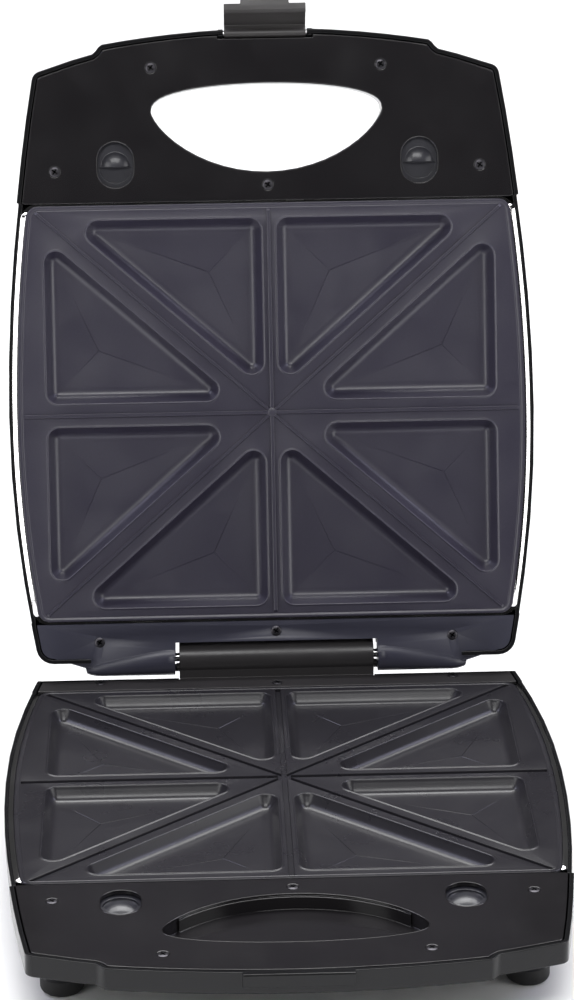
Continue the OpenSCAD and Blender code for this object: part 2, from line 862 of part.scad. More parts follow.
module pockets(grow) {
    for (sx = [0, 1])
        for (sy = [0, 1]) {
            reach = sy == 0 ? quarter_y1 : quarter_y0;
            mirror([sx, 0, 0])
                mirror([0, sy, 0]) {
                    pocket(inner_pocket(reach), grow);
                    pocket(outer_pocket(reach), grow);
                }
        }
}

// The lines that part the sandwiches: an upright cross and two diagonals
module parting_lines(w, d0, d1, short) {
    h = d1 - d0;
    translate([-w / 2, plate_y0 + short, d0])
        cube([w, plate_y1 - plate_y0 - 2 * short, h]);
    translate([short - half_w(0) + plate_in, -w / 2, d0])
        cube([2 * (half_w(0) - plate_in - short), w, h]);
    for (corner = [[quarter_x, quarter_y1], [-quarter_x, quarter_y1]])
        parting_line([-corner.x, -quarter_y0], corner, short + 3, w * 0.8, d0, h);
}

module parting_line(from, to, short, w, d0, h) {
    way = to - from;
    translate([from.x, from.y, d0])
        rotate([0, 0, atan2(way.y, way.x)])
            translate([short, -w / 2, 0])
                cube([norm(way) - 2 * short, w, h]);
}

module plate_body() {
    plan = pan(plate_in, plate_y0, plate_y1, plate_corner_r);
    difference() {
        union() {
            translate([0, 0, plate_d])
                linear_extrude(height = plate_t)
                    polygon(plan);
            translate([0, 0, plate_d - bead_h])
                linear_extrude(height = skirt_d - plate_d + bead_h)
                    difference() {
                        polygon(plan);
                        polygon(inset(plan, bead_w));
                    }
            pockets(plate_t * 0.8);
            both_sides() {
                translate([catch_x - tab_w / 2, plate_y0 - tab_out, tab_d])
                    cube([tab_w, tab_out + bead_w, tab_t]);
                translate([rear_tab_x - tab_w / 2, plate_y1 - bead_w, rear_tab_d])
                    cube([tab_w, tab_out + bead_w, tab_t]);
            }
        }
        pockets(0);
    }
}

module base_plate() {
    color(charcoal)
        place_base()
            difference() {
                plate_body();
                parting_lines(groove_w, plate_d - 1, plate_d + groove_t, 1.4);
            }
}

module lid_plate() {
    color(charcoal)
        place_lid()
            union() {
                plate_body();
                parting_lines(rib_w, plate_d - rib_h, plate_d + 0.5, 3);
            }
}

// ---------- heating ----------

module bend(centre, a0) {
    translate([centre.x, centre.y, 0])
        rotate([0, 0, a0])
            rotate_extrude(angle = 90)
                translate([element_bend, 0])
                    circle(r = element_r);
}

module element() {
    translate([0, 0, element_d])
        both_sides() {
            translate([element_leg_x, 0, 0])
                along_y(element_r, element_y + element_bend, plate_y1 - 1.2);
            translate([element_leg_x, 0, 0])
                along_y(element_r / 2, plate_y1 - 2.2, element_end_y);
            bend([element_leg_x + element_bend, element_y + element_bend], 180);
            translate([0, element_y, 0])
                along_x(element_r, element_leg_x + element_bend, element_x - element_bend);
            bend([element_x - element_bend, element_y - element_bend], 0);
            translate([element_x, 0, 0])
                along_y(element_r, element_bend - element_y, element_y - element_bend);
            bend([element_x - element_bend, element_bend - element_y], -90);
            translate([0, -element_y, 0])
                along_x(element_r, -1, element_x - element_bend);
        }
}

module base_element() {
    color(steel)
        place_base()
            element();
}

module lid_element() {
    color(steel)
        place_lid()
            element();
}

module element_seats() {
    for (x = [-element_x, element_x])
        for (y = [-28, 28])
            difference() {
                translate([x - seat.x / 2, y - seat.y / 2, element_d + slack])
                    cube([seat.x, seat.y, tray_floor - element_d - 2 * slack]);
                translate([x, 0, element_d])
                    along_y(element_r + slack, y - 10, y + 10);
            }
}

module base_element_seats() {
    color("white")
        place_base()
            element_seats();
}

module lid_element_seats() {
    color("white")
        place_lid()
            element_seats();
}

// ---------- catches ----------

module catch() {
    ball_r = (thumb_r * thumb_r + thumb_h * thumb_h) / (2 * thumb_h);
    difference() {
        union() {
            translate([-slider_w / 2, slider_y0, slider_d])
                cube([slider_w, slider_y1 - slider_y0, slider_t]);
            translate([-tongue_w / 2, slider_y1 - 1, slider_d])
                cube([tongue_w, tongue_y1 - slider_y1 + 1, slider_t]);
            intersection() {
                translate([0, catch_y + 0.5, slider_d - thumb_h + ball_r])
                    sphere(r = ball_r);
                translate([-thumb_r - 2, catch_y - 10, slider_d - thumb_h - 1])
                    cube([2 * thumb_r + 4, 11, thumb_h + 2]);
            }
            translate([0, 0, spring_d])
                along_y(spigot_r, slider_y0 - 4, slider_y0 + 1);
        }
        intersection() {
            translate([0, catch_y + 1, slider_d - 1])
                cylinder(r = catch_hole_r - 1.2, h = 2.4);
            translate([-20, catch_y + 1, 0])
                cube([40, 20, 20]);
        }
    }
}

module catch_at(side) {
    translate([side * catch_x, 0, 0])
        catch();
}

module base_catch_left() {
    color(black)
        place_base()
            catch_at(-1);
}

module base_catch_right() {
    color(black)
        place_base()
            catch_at(1);
}

module lid_catch_left() {
    color(black)
        place_lid()
            catch_at(-1);
}

module lid_catch_right() {
    color(black)
        place_lid()
            catch_at(1);
}

// A compression spring along y, its wire swept as one tube
module spring_at(side) {
    len = slider_y0 - spring_y0 - 2 * (spring_wire + slack);
    n = spring_turns * coil_steps;
    points = [for (i = [0:n])
        let (a = 360 * i / coil_steps, y = spring_y0 + spring_wire + slack + len * i / n)
        for (k = [0:coil_sides - 1]) let (b = 360 * k / coil_sides, r = spring_r + spring_wire * cos(b))
            [side * catch_x + r * cos(a), y + spring_wire * sin(b), spring_d + r * sin(a)]];
    sides = [for (i = [0:n - 1]) for (k = [0:coil_sides - 1]) let (m = (k + 1) % coil_sides)
        [i * coil_sides + k, i * coil_sides + m, (i + 1) * coil_sides + m, (i + 1) * coil_sides + k]];
    color(steel)
        polyhedron(points = points, faces = concat(sides, [[for (k = [coil_sides - 1:-1:0]) k]],
            [[for (k = [0:coil_sides - 1]) n * coil_sides + k]]));
}

module base_catch_spring_left() {
    place_base()
        spring_at(-1);
}

module base_catch_spring_right() {
    place_base()
        spring_at(1);
}

module lid_catch_spring_left() {
    place_lid()
        spring_at(-1);
}

module lid_catch_spring_right() {
    place_lid()
        spring_at(1);
}

// ---------- fasteners, feet and electrics ----------

module deck_screw() {
    difference() {
        union() {
            cylinder(r1 = screw_head_r, r2 = screw_r, h = screw_head_h);
            cylinder(r = screw_r, h = deck_screw_len);
        }
        for (a = [45, 135])
            rotate([0, 0, a])
                translate([-cross_l / 2, -cross_w / 2, -1])
                    cube([cross_l, cross_w, cross_h + 1]);
    }
}

module deck_screws() {
    at_points(front_screws)
        translate([0, 0, gap])
            deck_screw();
    at_points(rear_screws)
        translate([0, 0, gap + rear_drop])
            deck_screw();
}

module base_deck_screws() {
    color(steel)
        place_base()
            deck_screws();
}

module lid_deck_screws() {
    color(steel)
        place_lid()
            deck_screws();
}

module rubber_feet() {
    color(rubber)
        translate([0, row_y, 0])
            at_points(foot_points)
                difference() {
                    rotate_extrude()
                        polygon(concat([[0, 0], [foot_r - 3, 0]],
                            arc([foot_r - 3, 3], 3, -75, 0, 5), [[foot_r, foot_h], [0, foot_h]]));
                    translate([0, 0, -1])
                        cylinder(r = foot_well_r, h = foot_well_h + 1);
                    cylinder(r = screw_r + slack, h = foot_h + 1);
                }
}

module foot_screws() {
    color(steel)
        translate([0, row_y, foot_well_h])
            at_points(foot_points)
                union() {
                    translate([0, 0, -2])
                        cylinder(r = screw_head_r, h = 2 - slack);
                    translate([0, 0, -1])
                        cylinder(r = screw_r, h = foot_screw_len);
                }
}

module at_gland() {
    translate([gland_x, rear_reach, gland_d])
        children();
}

module cord_gland() {
    color(black)
        place_base()
            at_gland()
                difference() {
                    union() {
                        along_y(gland_r, -16, 1);
                        along_y(gland_flange_r, slack, 3);
                    }
                    along_y(gland_bore_r, -20, 10);
                }
}

module terminal_block() {
    color("white")
        place_base()
            translate(block_at)
                difference() {
                    translate(-block / 2)
                        cube(block);
                    for (x = [-terminal_pitch, 0, terminal_pitch])
                        translate([x, 0, 0])
                            along_y(1.7, -block.y, block.y);
                }
}

module thermostat() {
    color("silver")
        place_base()
            translate([thermostat_at.x, thermostat_at.y, tray_floor + tray_t + slack])
                union() {
                    cylinder(r = thermostat_r, h = 2);
                    cylinder(r = thermostat_r - 1.5, h = 5);
                    for (x = [-thermostat_tab_x, thermostat_tab_x])
                        translate([x - thermostat_tab, -0.4, 4])
                            cube([2 * thermostat_tab, 0.8, 4]);
                }
}

module thermal_fuse() {
    color("white")
        place_base()
            translate([fuse_at.x, fuse_at.y, fuse_d])
                union() {
                    along_x(2.2, -8, 8);
                    along_x(0.5, -fuse_wire_x, fuse_wire_x);
                }
}

// A lead swept as one tube through its bends
module lead(pts) {
    n = len(pts) - 1;
    way = [for (i = [0:n]) let (d = pts[min(i + 1, n)] - pts[max(i - 1, 0)]) d / norm(d)];
    points = [for (i = [0:n])
        let (w = way[i], q = abs(w.x) > 0.9 ? [0, 1, 0] : [1, 0, 0], s = cross(w, q), u = s / norm(s),
            v = cross(w, u))
        for (k = [0:lead_sides - 1]) let (a = 360 * k / lead_sides)
            pts[i] + lead_r * (u * cos(a) + v * sin(a))];
    sides = [for (i = [0:n - 1]) for (k = [0:lead_sides - 1]) let (m = (k + 1) % lead_sides)
        [i * lead_sides + m, i * lead_sides + k, (i + 1) * lead_sides + k, (i + 1) * lead_sides + m]];
    polyhedron(points = points, faces = concat(sides, [[for (k = [0:lead_sides - 1]) k]],
        [[for (k = [lead_sides - 1:-1:0]) n * lead_sides + k]]));
}

module base_leads() {
    end_d = element_d + 0.5;
    tab_x = thermostat_tab_x + thermostat_tab + 0.3;
    tab_d = fuse_d + 2.4;
    terminal = block_at.x + terminal_pitch;
    color("firebrick")
        place_base() {
            lead([[-element_leg_x, lead_y, end_d], [-element_leg_x, lead_y, lead_d - 3],
                [-element_leg_x - 2, lead_y - 0.4, lead_d], [terminal + 5, lead_y - 1.4, lead_d],
                [terminal, lead_y - 2.9, lead_d - 2], [terminal, lead_y - 2.9, block_at.z + 1.5],
                [terminal, lead_y, block_at.z]]);
            lead([[fuse_at.x - fuse_wire_x - 0.2, fuse_at.y, fuse_d],
                [block_at.x, fuse_at.y + 1, fuse_d], [block_at.x - 4, fuse_at.y + 6, fuse_d],
                [block_at.x - 5, fuse_at.y + 40, fuse_d], [block_at.x - 3, lead_y - 14.4, fuse_d],
                [block_at.x, lead_y - 7.4, lead_d - 1], [block_at.x, lead_y - 3.4, block_at.z + 3],
                [block_at.x, lead_y, block_at.z]]);
            lead([[fuse_at.x + fuse_wire_x + 0.2, fuse_at.y, fuse_d], [-12, fuse_at.y - 1, fuse_d],
                [-6, fuse_at.y - 6, fuse_d], [10, -10, fuse_d + 1],
                [thermostat_at.x - 24, thermostat_at.y + 6, tab_d],
                [thermostat_at.x - 16, thermostat_at.y + 1, tab_d],
                [thermostat_at.x - tab_x, thermostat_at.y, tab_d]]);
            lead([[thermostat_at.x + tab_x, thermostat_at.y, tab_d],
                [thermostat_at.x + 12, thermostat_at.y + 3, tab_d],
                [thermostat_at.x + 16, thermostat_at.y + 12, tab_d], [62, 60, tab_d - 1],
                [58, lead_y - 28.4, tab_d - 1], [42, lead_y - 12.4, lead_d],
                [element_leg_x + 4, lead_y - 3.4, lead_d - 1], [element_leg_x, lead_y, lead_d - 4],
                [element_leg_x, lead_y, end_d]]);
        }
}

module lid_crown_bores() {
    at_points(lamp_points)
        translate([0, 0, holder_seat_d])
            cylinder(r = lamp_r + slack, h = lid_depth);
}

module lamp(p) {
    place_lid()
        translate(p)
            intersection() {
                translate([0, 0, lamp_top - lamp_h])
                    cylinder(r = lamp_r, h = lamp_h);
                translate([0, 0, lamp_top - lamp_ball_r])
                    sphere(r = lamp_ball_r);
            }
}

module power_lamp() {
    color("red")
        lamp(lamp_points[1]);
}

module ready_lamp() {
    color("green")
        lamp(lamp_points[0]);
}

module lamp_holders() {
    color("white")
        place_lid()
            at_points(lamp_points)
                difference() {
                    translate([0, 0, holder_d])
                        cylinder(r = lamp_r + 1.2, h = lamp_top - holder_d - 5.3);
                    translate([0, 0, holder_seat_d])
                        cylinder(r = lamp_r + slack, h = lamp_h);
                }
}

module lid_leads() {
    start = lamp_points[0];
    color("firebrick")
        place_lid()
            both_sides()
                lead([[start.x, start.y, holder_d - 0.3], [start.x, start.y + 1, lead_d + 1],
                    [start.x + 2, start.y + 6, lead_d - 0.5], [44, start.y + 58, lead_d - 1],
                    [46, start.y + 78, lead_d - 1], [46, 60, lead_d - 1],
                    [44, lead_y - 34.4, lead_d - 1], [32, lead_y - 12.4, lead_d - 1],
                    [element_leg_x + 2, lead_y - 3.4, lead_d - 1],
                    [element_leg_x, lead_y, lead_d - 3.5], [element_leg_x, lead_y, element_d + 0.5]]);
}

// ---------- latch ----------

module clip_pin() {
    color(steel)
        place_lid()
            translate([0, pivot_y, pivot_z])
                along_x(clip_pin_r, -clip_w / 2 - lug_w + 0.3, clip_w / 2 + lug_w - 0.3);
}

module clip_section() {
    out = clip_in + clip_t;
    polygon([[0, 1], [1 - out, 1], [-out, 0], [-out, hook_z - 3.6], [-clip_in + hook_in - 0.6, hook_z - 2.8],
        [-clip_in + hook_in, hook_z - 0.8], [-clip_in + hook_in, hook_z], [-clip_in, hook_z],
        [-clip_in, -1.5], [0, -1.5]]);
}

module finger_section() {
    out = clip_in + clip_t;
    polygon([[-out + 1, hook_z + 2], [-out - 1.6, hook_z - 1], [-out - 4.6, hook_z - 4.6],
        [-out - 5.6, hook_z - 7], [-out - 3.8, hook_z - 6.6], [-out + 1, hook_z - 3.4]]);
}

module across(section_w) {
    translate([-section_w / 2, 0, 0])
        rotate([90, 0, 90])
            linear_extrude(height = section_w)
                children();
}

module latch_clip() {
    color(black)
        place_clip()
            difference() {
                union() {
                    across(clip_w)
                        clip_section();
                    across(finger_w)
                        finger_section();
                    along_x(clip_barrel_r, -clip_w / 2, clip_w / 2);
                }
                along_x(clip_pin_r + slack, -clip_w, clip_w);
            }
}

base_shell();
base_front_deck();
base_rear_deck();
base_heat_tray();
base_plate();
base_element();
base_element_seats();
base_catch_left();
base_catch_right();
base_catch_spring_left();
base_catch_spring_right();
base_deck_screws();
rubber_feet();
foot_screws();
hinge_pin();
cord_gland();
terminal_block();
thermostat();
thermal_fuse();
base_leads();
lid_shell();
lid_front_deck();
lid_rear_deck();
lid_heat_tray();
lid_plate();
lid_element();
lid_element_seats();
lid_catch_left();
lid_catch_right();
lid_catch_spring_left();
lid_catch_spring_right();
lid_deck_screws();
power_lamp();
ready_lamp();
lamp_holders();
lid_leads();
clip_pin();
latch_clip();
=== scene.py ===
# %% [markdown]
# # A four-slice sandwich toaster, standing open
# The machine is two shallow mouldings on one hinge. Each carries a cast plate in a polished steel
# tray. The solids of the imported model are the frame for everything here. We keep the ones whose
# shape is right and give them a finish, and we rebuild the ones whose small forms catch the light.

import json
import math

import bmesh
import bpy
import numpy as np
from mathutils import Matrix, Vector


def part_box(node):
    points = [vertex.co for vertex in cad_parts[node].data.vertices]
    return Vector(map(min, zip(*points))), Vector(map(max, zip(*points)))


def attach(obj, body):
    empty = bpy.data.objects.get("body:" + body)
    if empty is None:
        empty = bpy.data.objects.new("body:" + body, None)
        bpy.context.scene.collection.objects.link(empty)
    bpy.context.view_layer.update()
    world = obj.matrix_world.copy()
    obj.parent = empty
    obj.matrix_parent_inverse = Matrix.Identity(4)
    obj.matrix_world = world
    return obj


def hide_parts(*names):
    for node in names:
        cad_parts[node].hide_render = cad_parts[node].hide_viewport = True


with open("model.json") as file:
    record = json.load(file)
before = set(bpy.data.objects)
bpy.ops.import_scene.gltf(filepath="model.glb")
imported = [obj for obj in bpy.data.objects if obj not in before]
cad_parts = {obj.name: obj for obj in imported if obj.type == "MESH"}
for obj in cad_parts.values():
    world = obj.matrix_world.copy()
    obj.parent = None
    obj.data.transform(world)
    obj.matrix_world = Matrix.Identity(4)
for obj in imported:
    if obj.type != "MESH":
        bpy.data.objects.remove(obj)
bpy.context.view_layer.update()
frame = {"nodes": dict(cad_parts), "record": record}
nodes = frame["nodes"]
print("solids loaded:", len(nodes))

# %% [markdown]
# ## Where things are
# The plates are easiest to think about with the machine closed: the mating plane is flat, x runs
# to the right and y to the hinge. Two small functions carry such a point to the open machine, one
# for the base and one for the lid. The hinge pin's own box tells us where the hinge is.

# %% The closed frame and the two ways out of it
MM = 0.001
pin_low, pin_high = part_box("hinge_pin")
HINGE = Vector([(low + high) / 2 for low, high in zip(pin_low, pin_high)])
HINGE_Y, HINGE_Z = 139.65, 9.5     # the hinge behind the plates' middle and above the mating plane, in mm
ROW_Y = HINGE.y / MM - HINGE_Y
BASE_H = HINGE.z / MM - HINGE_Z
OPEN = math.radians(106.6)
MERGE = 1e-6                       # corners nearer than this, in metres, are one
print("hinge at", [round(v / MM, 2) for v in HINGE])


def base_point(x, y, depth):
    """A point of the base, depth measured downwards from the mating plane, in metres."""
    return np.stack([x, y + ROW_Y, BASE_H - depth], -1) * MM


def lid_point(x, y, depth):
    """The same for the lid: depth measured upwards when closed, then swung open."""
    dy, dz = y - HINGE_Y, depth - HINGE_Z
    return np.stack([x, ROW_Y + HINGE_Y + dy * math.cos(OPEN) + dz * math.sin(OPEN),
                     BASE_H + HINGE_Z - dy * math.sin(OPEN) + dz * math.cos(OPEN)], -1) * MM


# %% [markdown]
# ## The camera
# A long lens from a little above the worktop sees into both plates at once. We could aim a camera
# with a Track To constraint, but then it couldn't lean. So we build its three axes ourselves, from a
# pitch, a yaw and a small roll that were worked out from the machine's straight edges and screws.

# %% The camera
PITCH, YAW, ROLL = math.radians(20.8), math.radians(1.72), math.radians(-0.57)
CAMERA_AT = Vector((-0.046065, -1.628739 + ROW_Y * MM, 0.77635 + BASE_H * MM))
SENSOR_MM, LENS_MM = 36, 121.0


def add_object(name, data):
    """An object at the world's origin, linked to the scene."""
    obj = bpy.data.objects.new(name, data)
    bpy.context.scene.collection.objects.link(obj)
    return obj


def add_camera():
    forward = Vector((math.sin(YAW) * math.cos(PITCH), math.cos(YAW) * math.cos(PITCH), -math.sin(PITCH)))
    right = Vector((math.cos(YAW), -math.sin(YAW), 0))
    tilted = right * math.cos(ROLL) + right.cross(forward) * math.sin(ROLL)
    data = bpy.data.cameras.new("camera")
    data.sensor_fit = "VERTICAL"
    data.sensor_height = SENSOR_MM
    data.lens = LENS_MM
    camera = add_object("camera", data)
    axes = Matrix((tilted, tilted.cross(forward), -forward)).transposed().to_4x4()
    axes.translation = CAMERA_AT
    camera.matrix_world = axes
    bpy.context.scene.camera = camera
    return camera


camera = add_camera()
print("camera at", [round(v, 3) for v in camera.location])

# %% [markdown]
# ## Finishes
# Moulded black plastic is never quite flat: it has a slow waviness from the mould and a very fine
# grain, and the non-stick coating is speckled. A photograph of such a surface could be wrapped round
# the pieces, but it would stretch and show its seams. We build each finish from noise on the
# object's own coordinates instead, so the pattern stays put when the lid or a catch moves.

# %% A helper that builds a finish
def finish(name, colour, rough, *, metallic=0.0, grain=0.0, grain_mm=0.5, wave=0.0, wave_mm=12.0,
           rough_var=0.06, rough_mm=25.0, tint=None, coat=0.0, specular=0.5, speckle=0.0, brushed=None):
    """A principled finish whose colour, roughness and relief vary over the object's own coordinates."""
    m = bpy.data.materials.new(name)
    m.use_nodes = True
    tree = m.node_tree
    tree.nodes.clear()
    new, link = tree.nodes.new, tree.links.new
    out = new("ShaderNodeOutputMaterial")
    shader = new("ShaderNodeBsdfPrincipled")
    link(shader.outputs["BSDF"], out.inputs["Surface"])
    shader.inputs["Metallic"].default_value = metallic
    shader.inputs["Coat Weight"].default_value = coat
    shader.inputs["Coat Roughness"].default_value = 0.05
    shader.inputs["Specular IOR Level"].default_value = specular
    coords = new("ShaderNodeTexCoord")
    place = new("ShaderNodeMapping")
    link(coords.outputs["Object"], place.inputs["Vector"])
    if brushed:
        place.inputs["Scale"].default_value = brushed

    def noise(size_mm, detail=3.0, mapped=False):
        n = new("ShaderNodeTexNoise")
        n.inputs["Scale"].default_value = 1.0 / (size_mm * MM)
        n.inputs["Detail"].default_value = detail
        link(place.outputs["Vector"] if mapped else coords.outputs["Object"], n.inputs["Vector"])
        return n

    cloud = noise(rough_mm)
    spread = new("ShaderNodeMapRange")
    spread.inputs["From Min"].default_value = 0.3
    spread.inputs["From Max"].default_value = 0.7
    spread.inputs["To Min"].default_value = max(rough - rough_var, 0.02)
    spread.inputs["To Max"].default_value = rough + rough_var
    link(cloud.outputs["Fac"], spread.inputs["Value"])
    link(spread.outputs["Result"], shader.inputs["Roughness"])
    mix = new("ShaderNodeMix")
    mix.data_type = "RGBA"
    mix.inputs["A"].default_value = (*colour, 1)
    mix.inputs["B"].default_value = (*(tint or [c * 1.25 for c in colour]), 1)
    source = noise(speckle, 2.0) if speckle else noise(rough_mm * 1.7, mapped=bool(brushed))
    link(source.outputs["Fac"], mix.inputs["Factor"])
    link(mix.outputs["Result"], shader.inputs["Base Color"])
    last = None
    for size, height in ((wave_mm, wave), (grain_mm, grain)):
        if height:
            bump = new("ShaderNodeBump")
            bump.inputs["Strength"].default_value = 1.0
            bump.inputs["Distance"].default_value = height * MM
            link(noise(size, mapped=bool(brushed)).outputs["Fac"], bump.inputs["Height"])
            if last:
                link(last.outputs["Normal"], bump.inputs["Normal"])
            last = bump
    if last:
        link(last.outputs["Normal"], shader.inputs["Normal"])
    return m


print("noise is scaled from millimetres by", MM)

# %% [markdown]
# The real machine has several blacks, and telling them apart is most of the likeness: the glossy
# shells, the satin decks, the bluish deck by the hinge, the grey barrel and clip, and the non-stick
# coating. That one coating gets two tones: lighter and bluer on the upper plate as a painted sheen,
# and darker on the lower plate as painted shade. Colours that dark are hard to judge by number, so
# they were tuned in small steps under the final lights. The metals, ceramic, nylon and lenses are
# ordinary finishes.

# %% The finishes of this machine
housing = finish("gloss_black_moulding", (0.007, 0.007, 0.0075), 0.2, grain=0.004, grain_mm=0.8,
                 wave=0.02, wave_mm=30, rough_var=0.04, specular=0.25)
deck_black = finish("satin_black_deck", (0.0100, 0.0092, 0.0102), 0.2, grain=0.004, grain_mm=0.35,
                    wave=0.012, wave_mm=35, rough_var=0.04)
lid_deck_black = finish("bluish_black_deck", (0.030, 0.030, 0.045), 0.38, grain=0.01, grain_mm=0.35)
# the upper plate's coating, painted lighter and bluer than the lower one: a painted sheen
coating_lid_painted_sheen = finish("nonstick_coating_upper_painted_sheen", (0.0185, 0.0165, 0.029), 0.38, grain=0.008, grain_mm=0.4,
                     speckle=0.9, tint=(0.030, 0.0265, 0.045), rough_var=0.04, specular=0.72)
# the same coating on the lower plate, painted darker: painted shade
coating_base_painted_shade = finish("nonstick_coating_lower_painted_shade", (0.013, 0.012, 0.015), 0.30, grain=0.004, grain_mm=0.4,
                      speckle=0.9, tint=(0.018, 0.017, 0.021), rough_var=0.04, specular=0.5)
tray_steel = finish("polished_tray_steel", (0.80, 0.79, 0.80), 0.12, metallic=1.0, grain=0.002,
                    grain_mm=0.6, rough_var=0.04, brushed=(1.0, 0.08, 1.0))
part_steel = finish("plated_steel", (0.55, 0.55, 0.56), 0.25, metallic=1.0, grain=0.003, grain_mm=0.3)
screw_black = finish("blackened_screw_steel", (0.05, 0.048, 0.054), 0.35, metallic=0.9, grain=0.003,
                     grain_mm=0.2)
catch_plastic = finish("catch_plastic", (0.016, 0.016, 0.021), 0.36, grain=0.004, grain_mm=0.5, wave=0.02,
                       wave_mm=10, coat=0.2)
clip_plastic = finish("clip_plastic", (0.030, 0.028, 0.028), 0.42, grain=0.015, grain_mm=0.35)
barrel_plastic = finish("barrel_plastic", (0.022, 0.0205, 0.0215), 0.36, grain=0.012, grain_mm=0.35)
foot_rubber = finish("foot_rubber", (0.012, 0.012, 0.012), 0.6, grain=0.03, grain_mm=0.5, specular=0.3)
element_sheath = finish("element_sheath", (0.30, 0.28, 0.26), 0.38, metallic=1.0, grain=0.01, grain_mm=0.3)
ceramic = finish("ceramic_seat", (0.75, 0.73, 0.68), 0.7, grain=0.02, grain_mm=0.4, specular=0.3)
nylon = finish("natural_nylon", (0.70, 0.69, 0.64), 0.45, grain=0.008, grain_mm=0.4)
sleeve_red = finish("wire_sleeve", (0.35, 0.03, 0.025), 0.5, grain=0.006, grain_mm=0.3)
lens_red = finish("red_lens", (0.55, 0.015, 0.01), 0.12, grain=0.002, grain_mm=0.4, coat=0.5)
lens_green = finish("green_lens", (0.02, 0.36, 0.05), 0.12, grain=0.002, grain_mm=0.4, coat=0.5)
print("finishes:", len(bpy.data.materials))

# %% [markdown]
# ## Clean shading for the solids
# The solids arrive as loose triangles with hard facets. A tiny Geometry Nodes tree joins their
# corners and shades every edge smooth up to an angle, so curved walls look round and true corners
# stay crisp. It is a live modifier, so the solids themselves are not touched.

# %% The smoothing tree
def smoothing_tree():
    tree = bpy.data.node_groups.new("smooth_up_to_an_angle", "GeometryNodeTree")
    tree.interface.new_socket("Geometry", in_out="INPUT", socket_type="NodeSocketGeometry")
    angle = tree.interface.new_socket("Angle", in_out="INPUT", socket_type="NodeSocketFloat")
    angle.default_value = math.radians(28)
    tree.interface.new_socket("Geometry", in_out="OUTPUT", socket_type="NodeSocketGeometry")
    new, link = tree.nodes.new, tree.links.new
    start, end = new("NodeGroupInput"), new("NodeGroupOutput")
    merge = new("GeometryNodeMergeByDistance")
    merge.inputs["Distance"].default_value = 0.00001
    faces = new("GeometryNodeSetShadeSmooth")
    edges = new("GeometryNodeSetShadeSmooth")
    edges.domain = "EDGE"
    edge_angle = new("GeometryNodeInputMeshEdgeAngle")
    below = new("FunctionNodeCompare")
    below.operation = "LESS_THAN"
    link(start.outputs["Geometry"], merge.inputs["Geometry"])
    link(merge.outputs["Geometry"], faces.inputs["Geometry"])
    link(faces.outputs["Geometry"], edges.inputs["Geometry"])
    link(edge_angle.outputs["Unsigned Angle"], below.inputs["A"])
    link(start.outputs["Angle"], below.inputs["B"])
    link(below.outputs["Result"], edges.inputs["Shade Smooth"])
    link(edges.outputs["Geometry"], end.inputs["Geometry"])
    return tree


smoothing = smoothing_tree()


def shade(name, material):
    """Gives a solid its finish and its smoothing."""
    solid = nodes[name]
    solid.data.materials.clear()
    solid.data.materials.append(material)
    modifier = solid.modifiers.new("smooth", "NODES")
    modifier.node_group = smoothing


print("smoothing tree:", len(smoothing.nodes), "nodes")

# %% [markdown]
# Every solid gets a finish here, also the ones that a finer piece replaces further down, because
# that piece takes its finish from the same table. One table is easier to check against the machine
# than a material call beside each piece, and the last line prints any solid that it forgets.

# %% Finish each solid
FINISH_OF = {
    "base_shell": housing, "lid_shell": housing, "base_front_deck": deck_black,
    "base_rear_deck": barrel_plastic, "lid_front_deck": deck_black, "lid_rear_deck": lid_deck_black,
    "base_heat_tray": tray_steel, "lid_heat_tray": tray_steel, "base_plate": coating_base_painted_shade,
    "lid_plate": coating_lid_painted_sheen, "base_element": element_sheath, "lid_element": element_sheath,
    "base_element_seats": ceramic, "lid_element_seats": ceramic, "base_catch_left": catch_plastic,
    "base_catch_right": catch_plastic, "lid_catch_left": catch_plastic, "lid_catch_right": catch_plastic,
    "base_catch_spring_left": part_steel, "base_catch_spring_right": part_steel,
    "lid_catch_spring_left": part_steel, "lid_catch_spring_right": part_steel,
    "base_deck_screws": screw_black, "lid_deck_screws": screw_black, "rubber_feet": foot_rubber,
    "foot_screws": part_steel, "hinge_pin": part_steel, "cord_gland": deck_black,
    "terminal_block": nylon, "thermostat": part_steel, "thermal_fuse": nylon, "base_leads": sleeve_red,
    "power_lamp": lens_red, "ready_lamp": lens_green, "lamp_holders": nylon, "lid_leads": sleeve_red,
    "clip_pin": part_steel, "latch_clip": clip_plastic,
}
for name, material in FINISH_OF.items():
    shade(name, material)
print("solids finished:", len(FINISH_OF), "left over:", sorted(set(nodes) - set(FINISH_OF)))

# %% [markdown]
# ## Rounding the moulded edges
# No moulded part has a truly sharp edge, and on black plastic the small radius is nearly all we see:
# it mirrors the room as one thin bright line. A Bevel modifier is held back by the shortest edge of
# a mesh, and these meshes have tiny ones. So we copy the solid, merge its corners, dissolve its flat
# faces into single polygons, and bevel only the edges that turn sharply. Normals weighted by area
# then keep the flat faces flat right up to the radius.

# %% Round the sharp edges of the mouldings
BODIES = frame["record"]["behaviour"]["bodies"]
BODY_OF = {node: body for body, members in BODIES.items() for node in members}
# one flat face below this angle, an edge to round above the next, shaded as a crease above the last
FLAT_DEG, SHARP_DEG, CREASED_DEG = 0.3, 32, 36
SPECK = 2e-5                       # edges shorter than this, in metres, are dissolved


def merged_copy(node):
    """The faces of a solid, with the corners that lie on one another merged."""
    work = bmesh.new()
    work.from_mesh(nodes[node].data)
    bmesh.ops.remove_doubles(work, verts=work.verts, dist=MERGE)
    return work


def moulding(name, work, creased_deg):
    """An object with a solid's own finish, made from its edited faces."""
    bmesh.ops.triangulate(work, faces=work.faces)
    for face in work.faces:
        face.smooth = True
    mesh = nodes[name].data.copy()
    work.to_mesh(mesh)
    work.free()
    mesh.materials.clear()
    mesh.materials.append(FINISH_OF[name])
    mesh.set_sharp_from_angle(angle=math.radians(creased_deg))
    return add_object(name + "_moulding", mesh)


